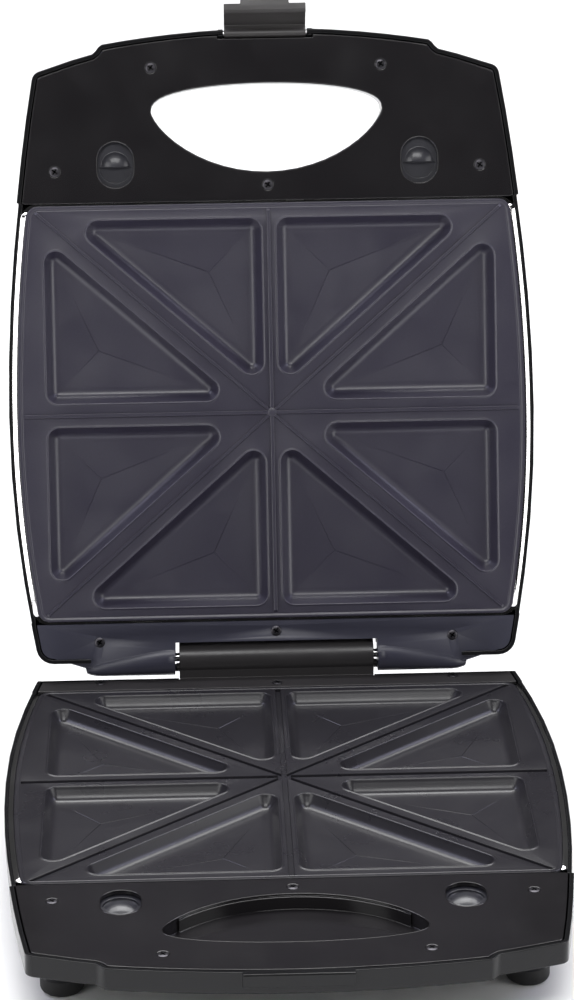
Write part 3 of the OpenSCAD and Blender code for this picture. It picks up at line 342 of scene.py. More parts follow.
def soften(name, slot, width, above):
    """A copy of a solid with its sharp edges rounded, width in mm, only above a height in metres."""
    work = merged_copy(name)
    bmesh.ops.dissolve_limit(work, angle_limit=math.radians(FLAT_DEG), verts=work.verts, edges=work.edges,
                             use_dissolve_boundaries=False)
    bmesh.ops.dissolve_degenerate(work, edges=work.edges, dist=SPECK)
    sharp = [e for e in work.edges if len(e.link_faces) == 2 and min(v.co.z for v in e.verts) > above
             and e.calc_face_angle(0) > math.radians(SHARP_DEG)]
    bmesh.ops.bevel(work, geom=sharp, offset=width * MM, offset_type="OFFSET", segments=2, profile=0.5,
                    affect="EDGES", clamp_overlap=False, material=-1)
    piece = moulding(name, work, CREASED_DEG)
    weigh = piece.modifiers.new("flat faces stay flat", "WEIGHTED_NORMAL")
    weigh.keep_sharp = True
    weigh.weight = 100
    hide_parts(name)
    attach(piece, BODY_OF[name])
    return piece


# node, slot, radius of its edges in mm, only above this height in metres
SOFTENED = [
    ("base_shell", "housing_black", 0.40, 0.02), ("lid_shell", "housing_black", 0.40, 0.0),
    ("base_front_deck", "deck_black", 0.40, 0.0), ("lid_front_deck", "deck_black", 0.40, 0.0),
    ("base_rear_deck", "deck_black", 0.35, 0.0),
    ("base_catch_left", "deck_black", 0.25, 0.0), ("base_catch_right", "deck_black", 0.25, 0.0),
    ("lid_catch_left", "deck_black", 0.25, 0.0), ("lid_catch_right", "deck_black", 0.25, 0.0),
    ("latch_clip", "deck_black", 0.35, 0.0), ("rubber_feet", "rubber", 0.5, -1.0),
    ("cord_gland", "deck_black", 0.30, 0.0),
]
for name, slot, width, above in SOFTENED:
    piece = soften(name, slot, width, above)
    print(piece.name, len(piece.data.polygons), "triangles")

# %% [markdown]
# The lid's rear deck swells into the two outer hinge barrels, and each swelling fades towards the
# corner as a long pointed arch. The solid has a plain round end there. We could model the arch anew,
# but the bore and the flat of the deck have to stay as they are. So on a copy we slice each barrel
# across, and draw the slices down towards its lowest line, the far ones most.

# %% Taper the hinge swellings
# where a barrel starts and ends, how far its rounded end runs on, and its radius, in mm
BARREL_IN, BARREL_END, BARREL_CAP, BARREL_R = 58.0, 100.5, 8.0, 10.1
SLICES = 8
LOWERED, LATE, NARROWED = 0.62, 1.4, 0.65    # the height that the far end loses, how late, and the width
BORE, SLACK = 0.6, 1.02                      # the bore, and a little past the wall, as shares of the radius
BARREL_CREASED_DEG = 26


def off_axis(co):
    """How far a corner is from the hinge's axis, as a share of the barrel's radius."""
    return math.hypot(co.y - HINGE.y, co.z - HINGE.z) / (BARREL_R * MM)


def slice_barrel(work, side):
    """Cuts the faces of one barrel across, so that they can bend."""
    for k in range(1, SLICES):
        x = BARREL_IN + (BARREL_END + BARREL_CAP - BARREL_IN) * k / SLICES
        near = [f for f in work.faces
                if all(off_axis(v.co) < SLACK and v.co.x * side > (BARREL_IN - 0.5) * MM for v in f.verts)]
        parts = set(near) | {e for f in near for e in f.edges} | {v for f in near for v in f.verts}
        bmesh.ops.bisect_plane(work, geom=list(parts), plane_co=(side * x * MM, 0, 0), plane_no=(1, 0, 0),
                               dist=MERGE)


def taper_swellings(name):
    work = merged_copy(name)
    for side in (1, -1):
        slice_barrel(work, side)
    low = HINGE.z - BARREL_R * MM
    for v in work.verts:
        out = (abs(v.co.x) / MM - BARREL_IN) / (BARREL_END + BARREL_R - BARREL_IN)
        if 0 < out < 1.001 and BORE < off_axis(v.co) < SLACK:
            keep = 1 - LOWERED * out ** LATE
            v.co.z = low + (v.co.z - low) * keep
            v.co.y = HINGE.y + (v.co.y - HINGE.y) * (1 - NARROWED + NARROWED * keep)
    piece = moulding(name, work, BARREL_CREASED_DEG)
    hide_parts(name)
    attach(piece, BODY_OF[name])
    return piece


rear_deck = taper_swellings("lid_rear_deck")
print(rear_deck.name, len(rear_deck.data.polygons), "triangles")

# %% [markdown]
# ## Screws
# Eight cross-head screws hold each pair of decks. They are all the same, so one head is modelled and
# Geometry Nodes place it on a point per seat: two stacked cones make the low dome, and a Boolean cuts
# the cross. The solid's own screws tell us where the seats are.

# %% Find the seats
def islands(work):
    """The separate pieces of a mesh, each as a set of its corners."""
    seen = set()
    for first in work.verts:
        if first in seen:
            continue
        island, edge = set(), {first}
        while edge:
            island |= edge
            edge = {e.other_vert(v) for v in edge for e in v.link_edges} - island
        seen |= island
        yield island


def screw_seats(node):
    """The middle of each screw's head in the closed frame, as x, y and depth in metres."""
    work = merged_copy(node)
    seats = []
    for island in islands(work):
        low = [min(v.co[i] for v in island) for i in range(3)]
        high = [max(v.co[i] for v in island) for i in range(3)]
        seats.append(((low[0] + high[0]) / 2, (low[1] + high[1]) / 2 - ROW_Y * MM, BASE_H * MM - high[2]))
    work.free()
    return seats


seats = screw_seats("base_deck_screws")
print("screws:", len(seats), "first at", [round(v / MM, 1) for v in seats[0]])

# %% [markdown]
# The head's sizes are inputs of the tree, so one number changes all sixteen screws. A modifier's
# input is set by the identifier of its socket, so we note the identifiers as we make the sockets.
# The tree makes real geometry at its end, because instances would be lost in the export.

# %% A tree that sets the screws
# a head's shoulder and flat top as shares of its radius, its rim as a share of the dome, their overlap
SHOULDER, FLAT_TOP, RIM_SHARE, OVERLAP = 0.93, 0.62, 0.45, 0.01
CROSS_TURN = 35


def number_input(tree, name, value):
    socket = tree.interface.new_socket(name, in_out="INPUT", socket_type="NodeSocketFloat")
    socket.default_value = value
    return socket.identifier


def screw_tree(material):
    tree = bpy.data.node_groups.new("cross_head_screws", "GeometryNodeTree")
    tree.interface.new_socket("Seats", in_out="INPUT", socket_type="NodeSocketGeometry")
    names = ("Head Radius", "Dome", "Slot Length", "Slot Width")
    sizes = {name: number_input(tree, name, 0.001) for name in names}
    tree.interface.new_socket("Geometry", in_out="OUTPUT", socket_type="NodeSocketGeometry")
    new, link = tree.nodes.new, tree.links.new
    start, end = new("NodeGroupInput"), new("NodeGroupOutput")

    def times(output, factor):
        n = new("ShaderNodeMath")
        n.operation = "MULTIPLY"
        n.inputs[1].default_value = factor
        link(output, n.inputs[0])
        return n.outputs[0]

    def cone(bottom, top, height):
        n = new("GeometryNodeMeshCone")
        n.inputs["Vertices"].default_value = 32
        for name, output in (("Radius Bottom", bottom), ("Radius Top", top), ("Depth", height)):
            link(output, n.inputs[name])
        return n.outputs["Mesh"]

    radius, dome = start.outputs["Head Radius"], start.outputs["Dome"]
    rim = cone(radius, times(radius, SHOULDER), times(dome, RIM_SHARE))
    crown = cone(times(radius, SHOULDER), times(radius, FLAT_TOP), times(dome, 1 - RIM_SHARE))
    lift = new("GeometryNodeTransform")
    raised = new("ShaderNodeCombineXYZ")
    link(times(dome, RIM_SHARE - OVERLAP), raised.inputs["Z"])
    link(crown, lift.inputs["Geometry"])
    link(raised.outputs["Vector"], lift.inputs["Translation"])
    cut = new("GeometryNodeMeshBoolean")
    cut.operation = "DIFFERENCE"
    whole = new("GeometryNodeMeshBoolean")
    whole.operation = "UNION"
    link(rim, whole.inputs["Mesh 2"])
    link(lift.outputs["Geometry"], whole.inputs["Mesh 2"])
    link(whole.outputs["Mesh"], cut.inputs["Mesh 1"])
    for turn in (CROSS_TURN, CROSS_TURN + 90):
        slot = new("GeometryNodeMeshCube")
        size = new("ShaderNodeCombineXYZ")
        place = new("GeometryNodeTransform")
        link(start.outputs["Slot Length"], size.inputs["X"])
        link(start.outputs["Slot Width"], size.inputs["Y"])
        link(times(dome, 2.0), size.inputs["Z"])
        link(size.outputs["Vector"], slot.inputs["Size"])
        place.inputs["Rotation"].default_value = (0, 0, math.radians(turn))
        link(raised.outputs["Vector"], place.inputs["Translation"])
        link(slot.outputs["Mesh"], place.inputs["Geometry"])
        link(place.outputs["Geometry"], cut.inputs["Mesh 2"])
    spread = new("GeometryNodeInstanceOnPoints")
    real = new("GeometryNodeRealizeInstances")
    dress = new("GeometryNodeSetMaterial")
    link(start.outputs["Seats"], spread.inputs["Points"])
    link(cut.outputs["Mesh"], spread.inputs["Instance"])
    link(spread.outputs["Instances"], real.inputs["Geometry"])
    link(real.outputs["Geometry"], dress.inputs["Geometry"])
    dress.inputs["Material"].default_value = material
    link(dress.outputs["Geometry"], end.inputs["Geometry"])
    return tree, sizes


def grow(name, mesh, tree, values):
    """Runs a tree on a carrier mesh and returns the plain mesh it makes."""
    carrier = add_object(name, mesh)
    modifier = carrier.modifiers.new("nodes", "NODES")
    modifier.node_group = tree
    for identifier, value in values.items():
        modifier[identifier] = value
    bpy.context.view_layer.update()
    made = bpy.data.meshes.new_from_object(carrier.evaluated_get(bpy.context.evaluated_depsgraph_get()))
    carrier.modifiers.clear()
    bpy.data.objects.remove(carrier)
    made.name = name
    return made


SCREWS, SCREW_SIZES = screw_tree(screw_black)
SCREW = {"Head Radius": 3.1 * MM, "Dome": 0.75 * MM, "Slot Length": 3.7 * MM, "Slot Width": 0.75 * MM}
SEAT_SUNK = 0.35 * MM              # how far the rim sits below the seat's edge


def drive_screws(name, node, to_row, body):
    mesh = bpy.data.meshes.new(name + "_seats")
    mesh.from_pydata([(x, y, -depth - SEAT_SUNK) for x, y, depth in seats], [], [])
    heads = grow(name, mesh, SCREWS, {SCREW_SIZES[k]: v for k, v in SCREW.items()})
    at = np.array([v.co[:] for v in heads.vertices]) / MM
    heads.vertices.foreach_set("co", to_row(at[:, 0], at[:, 1], -at[:, 2]).astype(np.float32).ravel())
    work = bmesh.new()
    work.from_mesh(heads)
    bmesh.ops.recalc_face_normals(work, faces=work.faces)
    work.to_mesh(heads)
    work.free()
    heads.set_sharp_from_angle(angle=math.radians(25))
    screws = add_object(name, heads)
    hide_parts(node)
    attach(screws, body)
    return screws


for name, node, to_row, body in (("base_screw_heads", "base_deck_screws", base_point, "base"),
                                 ("lid_screw_heads", "lid_deck_screws", lid_point, "lid")):
    screws = drive_screws(name, node, to_row, body)
    print(screws.name, len(screws.data.polygons), "faces")

# %% [markdown]
# ## Beads round the openings
# A fine bead runs round each catch's window, the handle opening and the finger recess, and catches
# the light as a thin line. A bevelled curve drawn by hand would drift from the edge. We pick the
# loop of edges from the solid itself and let Geometry Nodes turn it into a curve and sweep a small
# circle along it, a little more than half sunk in the deck.

# %% A tree that sweeps a bead
def bead_tree(material):
    tree = bpy.data.node_groups.new("bead_along_an_edge", "GeometryNodeTree")
    tree.interface.new_socket("Edge", in_out="INPUT", socket_type="NodeSocketGeometry")
    radius = number_input(tree, "Radius", 0.0004)
    tree.interface.new_socket("Geometry", in_out="OUTPUT", socket_type="NodeSocketGeometry")
    new, link = tree.nodes.new, tree.links.new
    start, end = new("NodeGroupInput"), new("NodeGroupOutput")
    curve = new("GeometryNodeMeshToCurve")
    section = new("GeometryNodeCurvePrimitiveCircle")
    sweep = new("GeometryNodeCurveToMesh")
    smooth = new("GeometryNodeSetShadeSmooth")
    real = new("GeometryNodeRealizeInstances")
    dress = new("GeometryNodeSetMaterial")
    section.inputs["Resolution"].default_value = 10
    link(start.outputs["Edge"], curve.inputs["Mesh"])
    link(start.outputs["Radius"], section.inputs["Radius"])
    link(curve.outputs["Curve"], sweep.inputs["Curve"])
    link(section.outputs["Curve"], sweep.inputs["Profile Curve"])
    link(sweep.outputs["Mesh"], smooth.inputs["Geometry"])
    link(smooth.outputs["Geometry"], real.inputs["Geometry"])
    link(real.outputs["Geometry"], dress.inputs["Geometry"])
    dress.inputs["Material"].default_value = material
    link(dress.outputs["Geometry"], end.inputs["Geometry"])
    return tree, radius


def face_loops(node, facing):
    """Loops of points round a solid's foremost flat face and the openings in it."""
    work = merged_copy(node)
    work.normal_update()
    work.edges.index_update()
    front = max(v.co.dot(facing) for v in work.verts)

    def on_face(f):
        return f.normal.dot(facing) > 0.999 and f.calc_center_median().dot(facing) > front - 0.05 * MM

    border = {e for e in work.edges if sum(on_face(f) for f in e.link_faces) == 1}
    loops = []
    while border:
        edge = min(border, key=lambda e: e.index)
        border.discard(edge)
        loop, tip = [edge.verts[0].co.copy(), edge.verts[1].co.copy()], edge.verts[1]
        while True:
            ahead = [e for e in tip.link_edges if e in border]
            if not ahead:
                break
            border.discard(ahead[0])
            tip = ahead[0].other_vert(tip)
            loop.append(tip.co.copy())
        loops.append(loop[:-1])
    work.free()
    return loops


BEADS, BEAD_RADIUS = bead_tree(deck_black)
BEAD_R, BEAD_SUNK = 0.4 * MM, 0.6         # radius, and the share of it by which the bead's middle is sunk
BEAD_LEAST, BEAD_MOST = 9 * MM, 190 * MM  # a smaller loop is a screw's seat, a larger one the deck's outline


def run_beads(name, node, facing, body):
    """Beads round the windows and the large opening, but not round the screws' seats."""
    points, edges = [], []
    for loop in face_loops(node, facing):
        size = max((p - q).length for p in loop for q in loop)
        if BEAD_LEAST < size < BEAD_MOST:
            first = len(points)
            points += [p - facing * BEAD_R * BEAD_SUNK for p in loop]
            edges += [(first + i, first + (i + 1) % len(loop)) for i in range(len(loop))]
            print(node, "bead of", len(loop), "points,", round(size / MM), "mm across")
    mesh = bpy.data.meshes.new(name + "_path")
    mesh.from_pydata(points, edges, [])
    beads = add_object(name, grow(name, mesh, BEADS, {BEAD_RADIUS: BEAD_R}))
    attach(beads, body)
    return beads


lid_facing = Vector(lid_point(0.0, 0.0, 0.0) - lid_point(0.0, 0.0, 1.0)).normalized()
base_beads = run_beads("base_deck_beads", "base_front_deck", Vector((0, 0, 1)), "base")
lid_beads = run_beads("lid_deck_beads", "lid_front_deck", lid_facing, "lid")
print("beads:", len(base_beads.data.polygons), "and", len(lid_beads.data.polygons), "faces")

# %% [markdown]
# ## The plates
# Each plate is one casting with eight triangular pockets. A pocket follows a rule: a rounded
# triangle that shrinks towards its incentre while it sinks, first over a small bead, then down a
# hollow wall, then across a floor that is a very flat pyramid. So we loft it through shrinking
# rings. The land between the pockets is one flat face with holes, filled between the outermost
# rings. Ring by ring modelling keeps the highlights along the walls clean with few faces.

# %% Sizes of the plates, in millimetres
PLATE_D = 0.8                      # depth of the plate's face below the mating plane
PLATE_Y0, PLATE_Y1, PLATE_IN, PLATE_R = -118.6, 117.2, 5.0, 7.0
QUARTER = np.array([135.0, 118.0])      # the quarter of a plate whose diagonal parts two pockets
POCKET_DEPTH, PYRAMID, POCKET_R = 6.5, 1.2, 7.0
# how far a pocket stays from each parting line and from the front or rear edge, and its outer side's place
FROM_DIAGONAL, FROM_UPRIGHT, FROM_ROW, FROM_EDGE, OUTER_X = 7.2, 4.0, 6.5, 7.8, 127.5
WALL_IN, WALL_TOP = 0.75, 0.45          # where a pocket's wall starts: in from the rim line, below the land
WALL_END, FILLET_END = 2.8, 9.0         # where its straight stretch ends, and the hollow fillet below it
FADE = 2.5                              # how fast the slope dies away along the fillet
WALL_SLOPE = (POCKET_DEPTH - WALL_TOP) / (WALL_END - WALL_IN + (FILLET_END - WALL_END) / (FADE + 1))
WIDEST_Y, BODY_HALF = 3.5, 149.0
FRONT_BOW, REAR_BOW = 930.0, 650.0      # radii of the bowed flanks
CORNER_STEPS = 8


def half_width(y):
    """Half the body's width beside the plates."""
    radius = FRONT_BOW if y < WIDEST_Y else REAR_BOW
    return BODY_HALF - (y - WIDEST_Y) ** 2 / (2 * radius)


def pocket_corners(kind):
    """Corners of the right rear pocket of a kind; its mirror images are the other three."""
    slope = QUARTER[1] / QUARTER[0]
    lift = FROM_DIAGONAL / math.cos(math.atan(slope))
    if kind == "inner":
        left, top = FROM_UPRIGHT, QUARTER[1] - FROM_EDGE
        return np.array([[left, slope * left + lift], [(top - lift) / slope, top], [left, top]])
    low = FROM_ROW
    return np.array([[(low + lift) / slope, low], [OUTER_X, low], [OUTER_X, slope * OUTER_X - lift]])


def incentre(tri):
    """The centre and the radius of the circle inscribed in a triangle."""
    side = [np.linalg.norm(tri[i - 2] - tri[i - 1]) for i in range(3)]
    centre = sum(s * p for s, p in zip(side, tri)) / sum(side)
    edge, arm = tri[1] - tri[0], centre - tri[0]
    return centre, abs(edge[0] * arm[1] - edge[1] * arm[0]) / side[2]


def round_corners(points, radius):
    """Rounds a convex outline that runs anticlockwise."""
    out = []
    count = len(points)
    for i, v in enumerate(points):
        a, b = points[i - 1] - v, points[(i + 1) % count] - v
        ua, ub = a / np.linalg.norm(a), b / np.linalg.norm(b)
        half = math.acos(np.clip(ua @ ub, -1, 1)) / 2
        bisector = (ua + ub) / np.linalg.norm(ua + ub)
        c = v + bisector * radius / math.sin(half)
        middle = math.atan2(-bisector[1], -bisector[0])
        span = math.pi / 2 - half
        for k in range(CORNER_STEPS + 1):
            t = middle - span + 2 * span * k / CORNER_STEPS
            out.append(c + radius * np.array([math.cos(t), math.sin(t)]))
    return np.array(out)


print("pocket corners:", pocket_corners("inner").round(1).tolist())

# %% [markdown]
# A small mesh builder collects rings of points and the strips between them. It works in the closed
# frame and hands its points to the base or the lid at the end, so one shape serves both halves.

# %% A mesh builder for rings and strips
class Moulding:
    """Points in the closed frame (x, y, depth) and the faces between them."""

    def __init__(self):
        self.points, self.faces = [], []

    def ring(self, outline, depth):
        """A closed ring of points, at one depth or at a depth for each point."""
        first = len(self.points)
        for i, (x, y) in enumerate(outline):
            self.points.append((x, y, depth[i] if np.ndim(depth) else depth))
        return list(range(first, len(self.points)))

    def strip(self, a, b, flip=False):
        """Quads between two rings with as many points."""
        for i in range(len(a)):
            j = (i + 1) % len(a)
            face = (a[i], a[j], b[j], b[i])
            self.faces.append(face[::-1] if flip else face)

    def cap(self, ring, flip=False):
        """One face that closes a ring."""
        self.faces.append(tuple(ring[::-1] if flip else ring))

    def fill(self, loops):
        """A flat face bounded by one outer loop and pierced by the others."""
        filler = bmesh.new()
        handles = {}
        for loop in loops:
            verts = [filler.verts.new((*self.points[i][:2], 0)) for i in loop]
            handles.update(zip(verts, loop))
            for i in range(len(verts)):
                filler.edges.new((verts[i], verts[(i + 1) % len(verts)]))
        bmesh.ops.triangle_fill(filler, use_beauty=True, use_dissolve=False, edges=filler.edges[:],
                                normal=(0, 0, 1))
        for face in filler.faces:
            ids = [handles[v] for v in face.verts]
            self.faces.append(tuple(ids if face.normal.z > 0 else ids[::-1]))
        filler.free()

    def box(self, low, high):
        """A plain box between two opposite corners."""
        xs, ys, zs = zip(low, high)
        first = len(self.points)
        self.points += [(x, y, z) for z in zs for y in ys for x in xs]
        for quad in ((0, 1, 3, 2), (4, 6, 7, 5), (0, 4, 5, 1), (2, 3, 7, 6), (0, 2, 6, 4), (1, 5, 7, 3)):
            self.faces.append(tuple(first + q for q in quad))

    def build(self, name, to_row, material, creased_deg=32):
        """Merges the seams, turns the faces outwards and creases what bends more than an angle."""
        pts = np.array(self.points, float)
        mesh = bpy.data.meshes.new(name)
        mesh.from_pydata(to_row(pts[:, 0], pts[:, 1], pts[:, 2]).tolist(), [], self.faces)
        mesh.materials.append(material)
        obj = add_object(name, mesh)
        tidy = bmesh.new()
        tidy.from_mesh(mesh)
        bmesh.ops.remove_doubles(tidy, verts=tidy.verts, dist=MERGE)
        bmesh.ops.recalc_face_normals(tidy, faces=tidy.faces)
        tidy.to_mesh(mesh)
        tidy.free()
        for polygon in mesh.polygons:
            polygon.use_smooth = True
        mesh.set_sharp_from_angle(angle=math.radians(creased_deg))
        return obj


print("one shape, two halves: depth 1 mm is z", base_point(0.0, 0.0, 1.0)[2].round(4), "in the base")

# %% [markdown]
# A pocket's section is a small raised bead, a steep wall and a hollow that flattens out. Two round
# fillets would meet the wall with a sudden change of curvature, and black coating shows that as a
# hard line. So the slope of the hollow dies away as a power of the distance, fast at first.

# %% The rings of one pocket
SMALLEST_R = 1.3
# a fold's line: half width, height, how far it stays full, and how deep its feet are sunk
FOLD_W, FOLD_H, FOLD_FULL, FOLD_SUNK = 0.36, 0.27, 0.3, 0.03


def pocket_profile(inradius):
    """(distance in from the rim line, depth below the land) down a pocket."""
    bead = [(-1.0, 0.0), (-0.75, -0.05), (-0.5, -0.2), (-0.25, -0.38), (0.0, -0.45), (0.25, -0.38),
            (0.5, -0.12), (WALL_IN, WALL_TOP)]
    run = WALL_END - WALL_IN
    fall = WALL_TOP + WALL_SLOPE * run
    wall = [(WALL_IN + run * s, WALL_TOP + (fall - WALL_TOP) * s) for s in (0.35, 0.7, 1.0)]
    width = FILLET_END - WALL_END
    hollow = [(WALL_END + width * s, fall + WALL_SLOPE * width * (1 - (1 - s) ** (FADE + 1)) / (FADE + 1))
              for s in np.linspace(0.08, 1, 12)]
    bottom = hollow[-1][1]
    floor = [(FILLET_END + (inradius - FILLET_END) * s, bottom + PYRAMID * s) for s in (0.03, 0.3, 0.98)]
    return bead + wall + hollow + floor


def add_pocket(plate, corners, sx, sy):
    """Lofts a pocket through its rings and returns the outermost, where the land begins."""
    centre, inradius = incentre(corners)
    flip = sx * sy < 0
    rings = []
    for t, depth in pocket_profile(inradius):
        shrunk = centre + (corners - centre) * (1 - t / inradius)
        # the smallest rings keep a corner radius that still fits them
        radius = min(max(POCKET_R - t, SMALLEST_R), 0.45 * (inradius - t) + 0.02)
        rings.append(plate.ring(round_corners(shrunk, radius) * (sx, sy), PLATE_D + depth))
    for a, b in zip(rings, rings[1:]):
        plate.strip(a, b, flip)
    plate.cap(rings[-1], flip)
    return rings[0]


def add_crease(plate, corners, corner, share, sx, sy):
    """A fine raised line along a fold of the pocket's floor, fading towards the corner."""
    centre, inradius = incentre(corners)
    reach = (corner - centre) * share
    along = reach / np.linalg.norm(reach)
    across = np.array([-along[1], along[0]])
    deepest = PLATE_D + POCKET_DEPTH + PYRAMID
    rise = PYRAMID * share * inradius / (inradius - FILLET_END)
    stations = []
    for s in np.linspace(0, 1, 9):
        strength = 1 if s < FOLD_FULL else (1 - s) / (1 - FOLD_FULL)
        width, height = FOLD_W * (0.35 + 0.65 * strength), FOLD_H * strength + 0.005
        middle = centre + reach * s
        rows = []
        for side, lift in ((-1, -FOLD_SUNK), (-0.25, height), (0.25, height), (1, -FOLD_SUNK)):
            p = (middle + across * side * width) * (sx, sy)
            plate.points.append((p[0], p[1], deepest - rise * s - lift))
            rows.append(len(plate.points) - 1)
        stations.append(rows)
    for a, b in zip(stations, stations[1:]):
        for k in range(3):
            face = (a[k], a[k + 1], b[k + 1], b[k])
            plate.faces.append(face if sx * sy < 0 else face[::-1])


# how far a fold's line runs towards each corner; the square corner's is the shortest
CREASE_REACH = {"inner": (0.6, 0.6, 0.54), "outer": (0.6, 0.54, 0.6)}
print("profile:", [(round(t, 1), round(d, 2)) for t, d in pocket_profile(27)][::4])

# %% [markdown]
# The edge of the plate is a bead with a fine step inside it. Its outline follows the bowed flanks of
# the machine at an even distance. A scaled copy of the body's outline would be nearer in some places
# than in others, so the outline is computed from the flanks' own radii.

# %% The outline and edge of a plate
def pan(side, y0, y1, r, steps=8, rows=14):
    """Anticlockwise outline that keeps a distance from the flanks, with round corners."""
    right = []

    def corner(y, start, end):
        for k in range(steps + 1):
            a = math.radians(start + (end - start) * k / steps)
            right.append((half_width(y) - side - r + r * math.cos(a), y + r * math.sin(a)))

    # the corners' arcs stop a little short of the straight, where the bowed flank takes over
    corner(y0 + r, -90, -8)
    for i in range(1, rows):
        y = y0 + r + (y1 - y0 - 2 * r) * i / rows
        right.append((half_width(y) - side, y))
    corner(y1 - r, 10, 90)
    right = np.array(right)
    return np.concatenate([right, right[::-1] * (-1, 1)])


def plate_outline(e):
    """Outline of a plate, drawn in by e."""
    return pan(PLATE_IN + e, PLATE_Y0 + e, PLATE_Y1 - e, PLATE_R - min(e, 5))


LAND_IN = 3.0                      # how far inside the plate's outline the land begins
# in from the outline, and depth below the land
EDGE_PROFILE = [(LAND_IN, 1.6), (LAND_IN, 0.0), (2.7, 0.12), (2.3, 0.12), (2.0, -0.02), (1.5, -0.24),
                (0.9, -0.35), (0.35, -0.27), (0.05, 0.0), (0.0, 0.5), (0.0, 8.2)]
print("outline points:", len(plate_outline(0)))

# %% [markdown]
# The two plates part the bread on the same four lines through the middle: a cross and two
# diagonals. Ribs above and groove floors below are the same kind of long bar on such a line. We
# could cut the bars out with Booleans, but those leave slivers along the shallow crossings. Each bar
# is swept from a small section, and the bars simply pass through one another.

# %% Parting lines and the bars on them
DIAGONAL = math.atan2(QUARTER[1], QUARTER[0])
FINE = 0.8                         # the diagonals' width and height as a share of the cross's
LINES = {"upright": (math.pi / 2, 1.0), "row": (0.0, 1.0), "rising": (DIAGONAL, FINE),
         "falling": (-DIAGONAL, FINE)}


def line_reach(angle, e):
    """How far a line through the centre runs before it meets the plate's outline drawn in by e."""
    ahead = np.array([math.cos(angle), math.sin(angle)])
    normal = np.array([-ahead[1], ahead[0]])
    outline = plate_outline(e)
    best = []
    for p, q in zip(outline, np.roll(outline, -1, 0)):
        a, b = p @ normal, q @ normal
        if a * b <= 0 and a != b:
            best.append((p + (q - p) * a / (a - b)) @ ahead)
    return min(best), max(best)


def add_bar(plate, angle, profile, low, high, taper):
    """A long bar on a line through the centre. profile is (across, lift), lifted off the land."""
    ahead = np.array([math.cos(angle), math.sin(angle)])
    across = np.array([-ahead[1], ahead[0]])
    rows = []
    for s, full in ((low, 0.0), (low + taper, 1.0), (high - taper, 1.0), (high, 0.0)):
        first = len(plate.points)
        for w, lift in profile:
            p = ahead * s + across * w
            plate.points.append((p[0], p[1], PLATE_D - lift * full))
        rows.append(list(range(first, len(plate.points))))
    for a, b in zip(rows, rows[1:]):
        for i in range(len(a) - 1):
            plate.faces.append((a[i], b[i], b[i + 1], a[i + 1]))
        plate.faces.append((a[-1], b[-1], b[0], a[0]))
    plate.faces += [tuple(rows[0]), tuple(rows[-1][::-1])]


print("upright line runs from", [round(v, 1) for v in line_reach(math.pi / 2, LAND_IN)])

# %% [markdown]
# The upper plate's cutting ribs have a flat top with a fine raised edge on each side, which shows as
# a double line, and a small round hub where they cross. One side of the section is written down and
# the other is its mirror image.

# %% Ribs of the upper plate
RIB_W, RIB_H, RIB_END = 2.2, 1.25, 3.2
RIB_TAPER = 1.2
# from a rib's wall towards its middle, and up from the land
RIB_SIDE = [(-0.05, -0.4), (0.0, 0.0), (0.06, RIB_H - 0.25), (0.16, RIB_H - 0.06), (0.3, RIB_H),
            (0.46, RIB_H - 0.1)]
HUB = [(2.6, 0.0), (2.45, RIB_H - 0.1), (2.1, RIB_H + 0.05)]    # its radius on the way up
HUB_SIDES = 24


def add_ribs(plate):
    """The four ribs and the hub."""
    for angle, share in LINES.values():
        low, high = line_reach(angle, RIB_END)
        profile = [(w - RIB_W / 2, lift) for w, lift in RIB_SIDE]
        profile += [(-w, lift) for w, lift in profile[::-1]]
        add_bar(plate, angle, [(w * share, lift * share) for w, lift in profile], low, high, RIB_TAPER)
    turns = np.linspace(0, 2 * math.pi, HUB_SIDES + 1)[:-1]
    rings = []
    for radius, lift in HUB:
        circle = [(radius * math.cos(t), radius * math.sin(t)) for t in turns]
        rings.append(plate.ring(circle, PLATE_D - lift))
    for a, b in zip(rings, rings[1:]):
        plate.strip(a, b)
    plate.cap(rings[-1])


print("rib section:", 2 * len(RIB_SIDE), "points")

# %% [markdown]
# The lower plate has grooves on the same lines, so its land is cut into eight sectors. Each sector
# is the plate's convex outline clipped by two lines, which is a few lines of plain geometry and
# needs no Boolean. Its cut edges are rolled down into the grooves, and a bar closes each groove.

# %% Sectors and grooves of the lower plate
def clip(outline, normal, distance):
    """The part of a convex outline on the far side of a line."""
    out = []
    for p, q in zip(outline, np.roll(outline, -1, 0)):
        a, b = p @ normal - distance, q @ normal - distance
        if a >= 0:
            out.append(p)
        if a * b < 0:
            out.append(p + (q - p) * a / (a - b))
    return np.array(out)


GROOVE_W, GROOVE_T, FLOOR_T = 3.0, 1.4, 0.3
BLUNT = 0.001                      # a floor's ends hardly taper
# towards the groove's middle, and down from the land
GROOVE_EDGE = [(-0.35, 0.0), (-0.12, 0.06), (0.0, 0.25), (0.1, GROOVE_T)]


def sector(kind, sx, sy, widen):
    """One eighth of the land, its two cut edges drawn in by half a groove less widen."""
    outline = plate_outline(LAND_IN)
    up = np.array([1.0, 0.0])
    rising = np.array([-math.sin(DIAGONAL), math.cos(DIAGONAL)])
    half = GROOVE_W / 2 - widen
    if kind == "inner":
        cuts = [(up * (sx, 1), half), (rising * (sx, sy), half * FINE)]
    else:
        cuts = [(np.array([0.0, 1.0]) * (1, sy), half), (-rising * (sx, sy), half * FINE)]
    for normal, distance in cuts:
        outline = clip(outline, normal, distance)
    return outline


def add_sector(plate, kind, sx, sy, hole):
    """One sector with a pocket's rim as its hole, and its edge rolled down into the grooves."""
    rings = [plate.ring(sector(kind, sx, sy, w), PLATE_D + d) for w, d in GROOVE_EDGE]
    plate.fill([rings[0], hole])
    for a, b in zip(rings, rings[1:]):
        if len(a) == len(b):
            plate.strip(a, b)


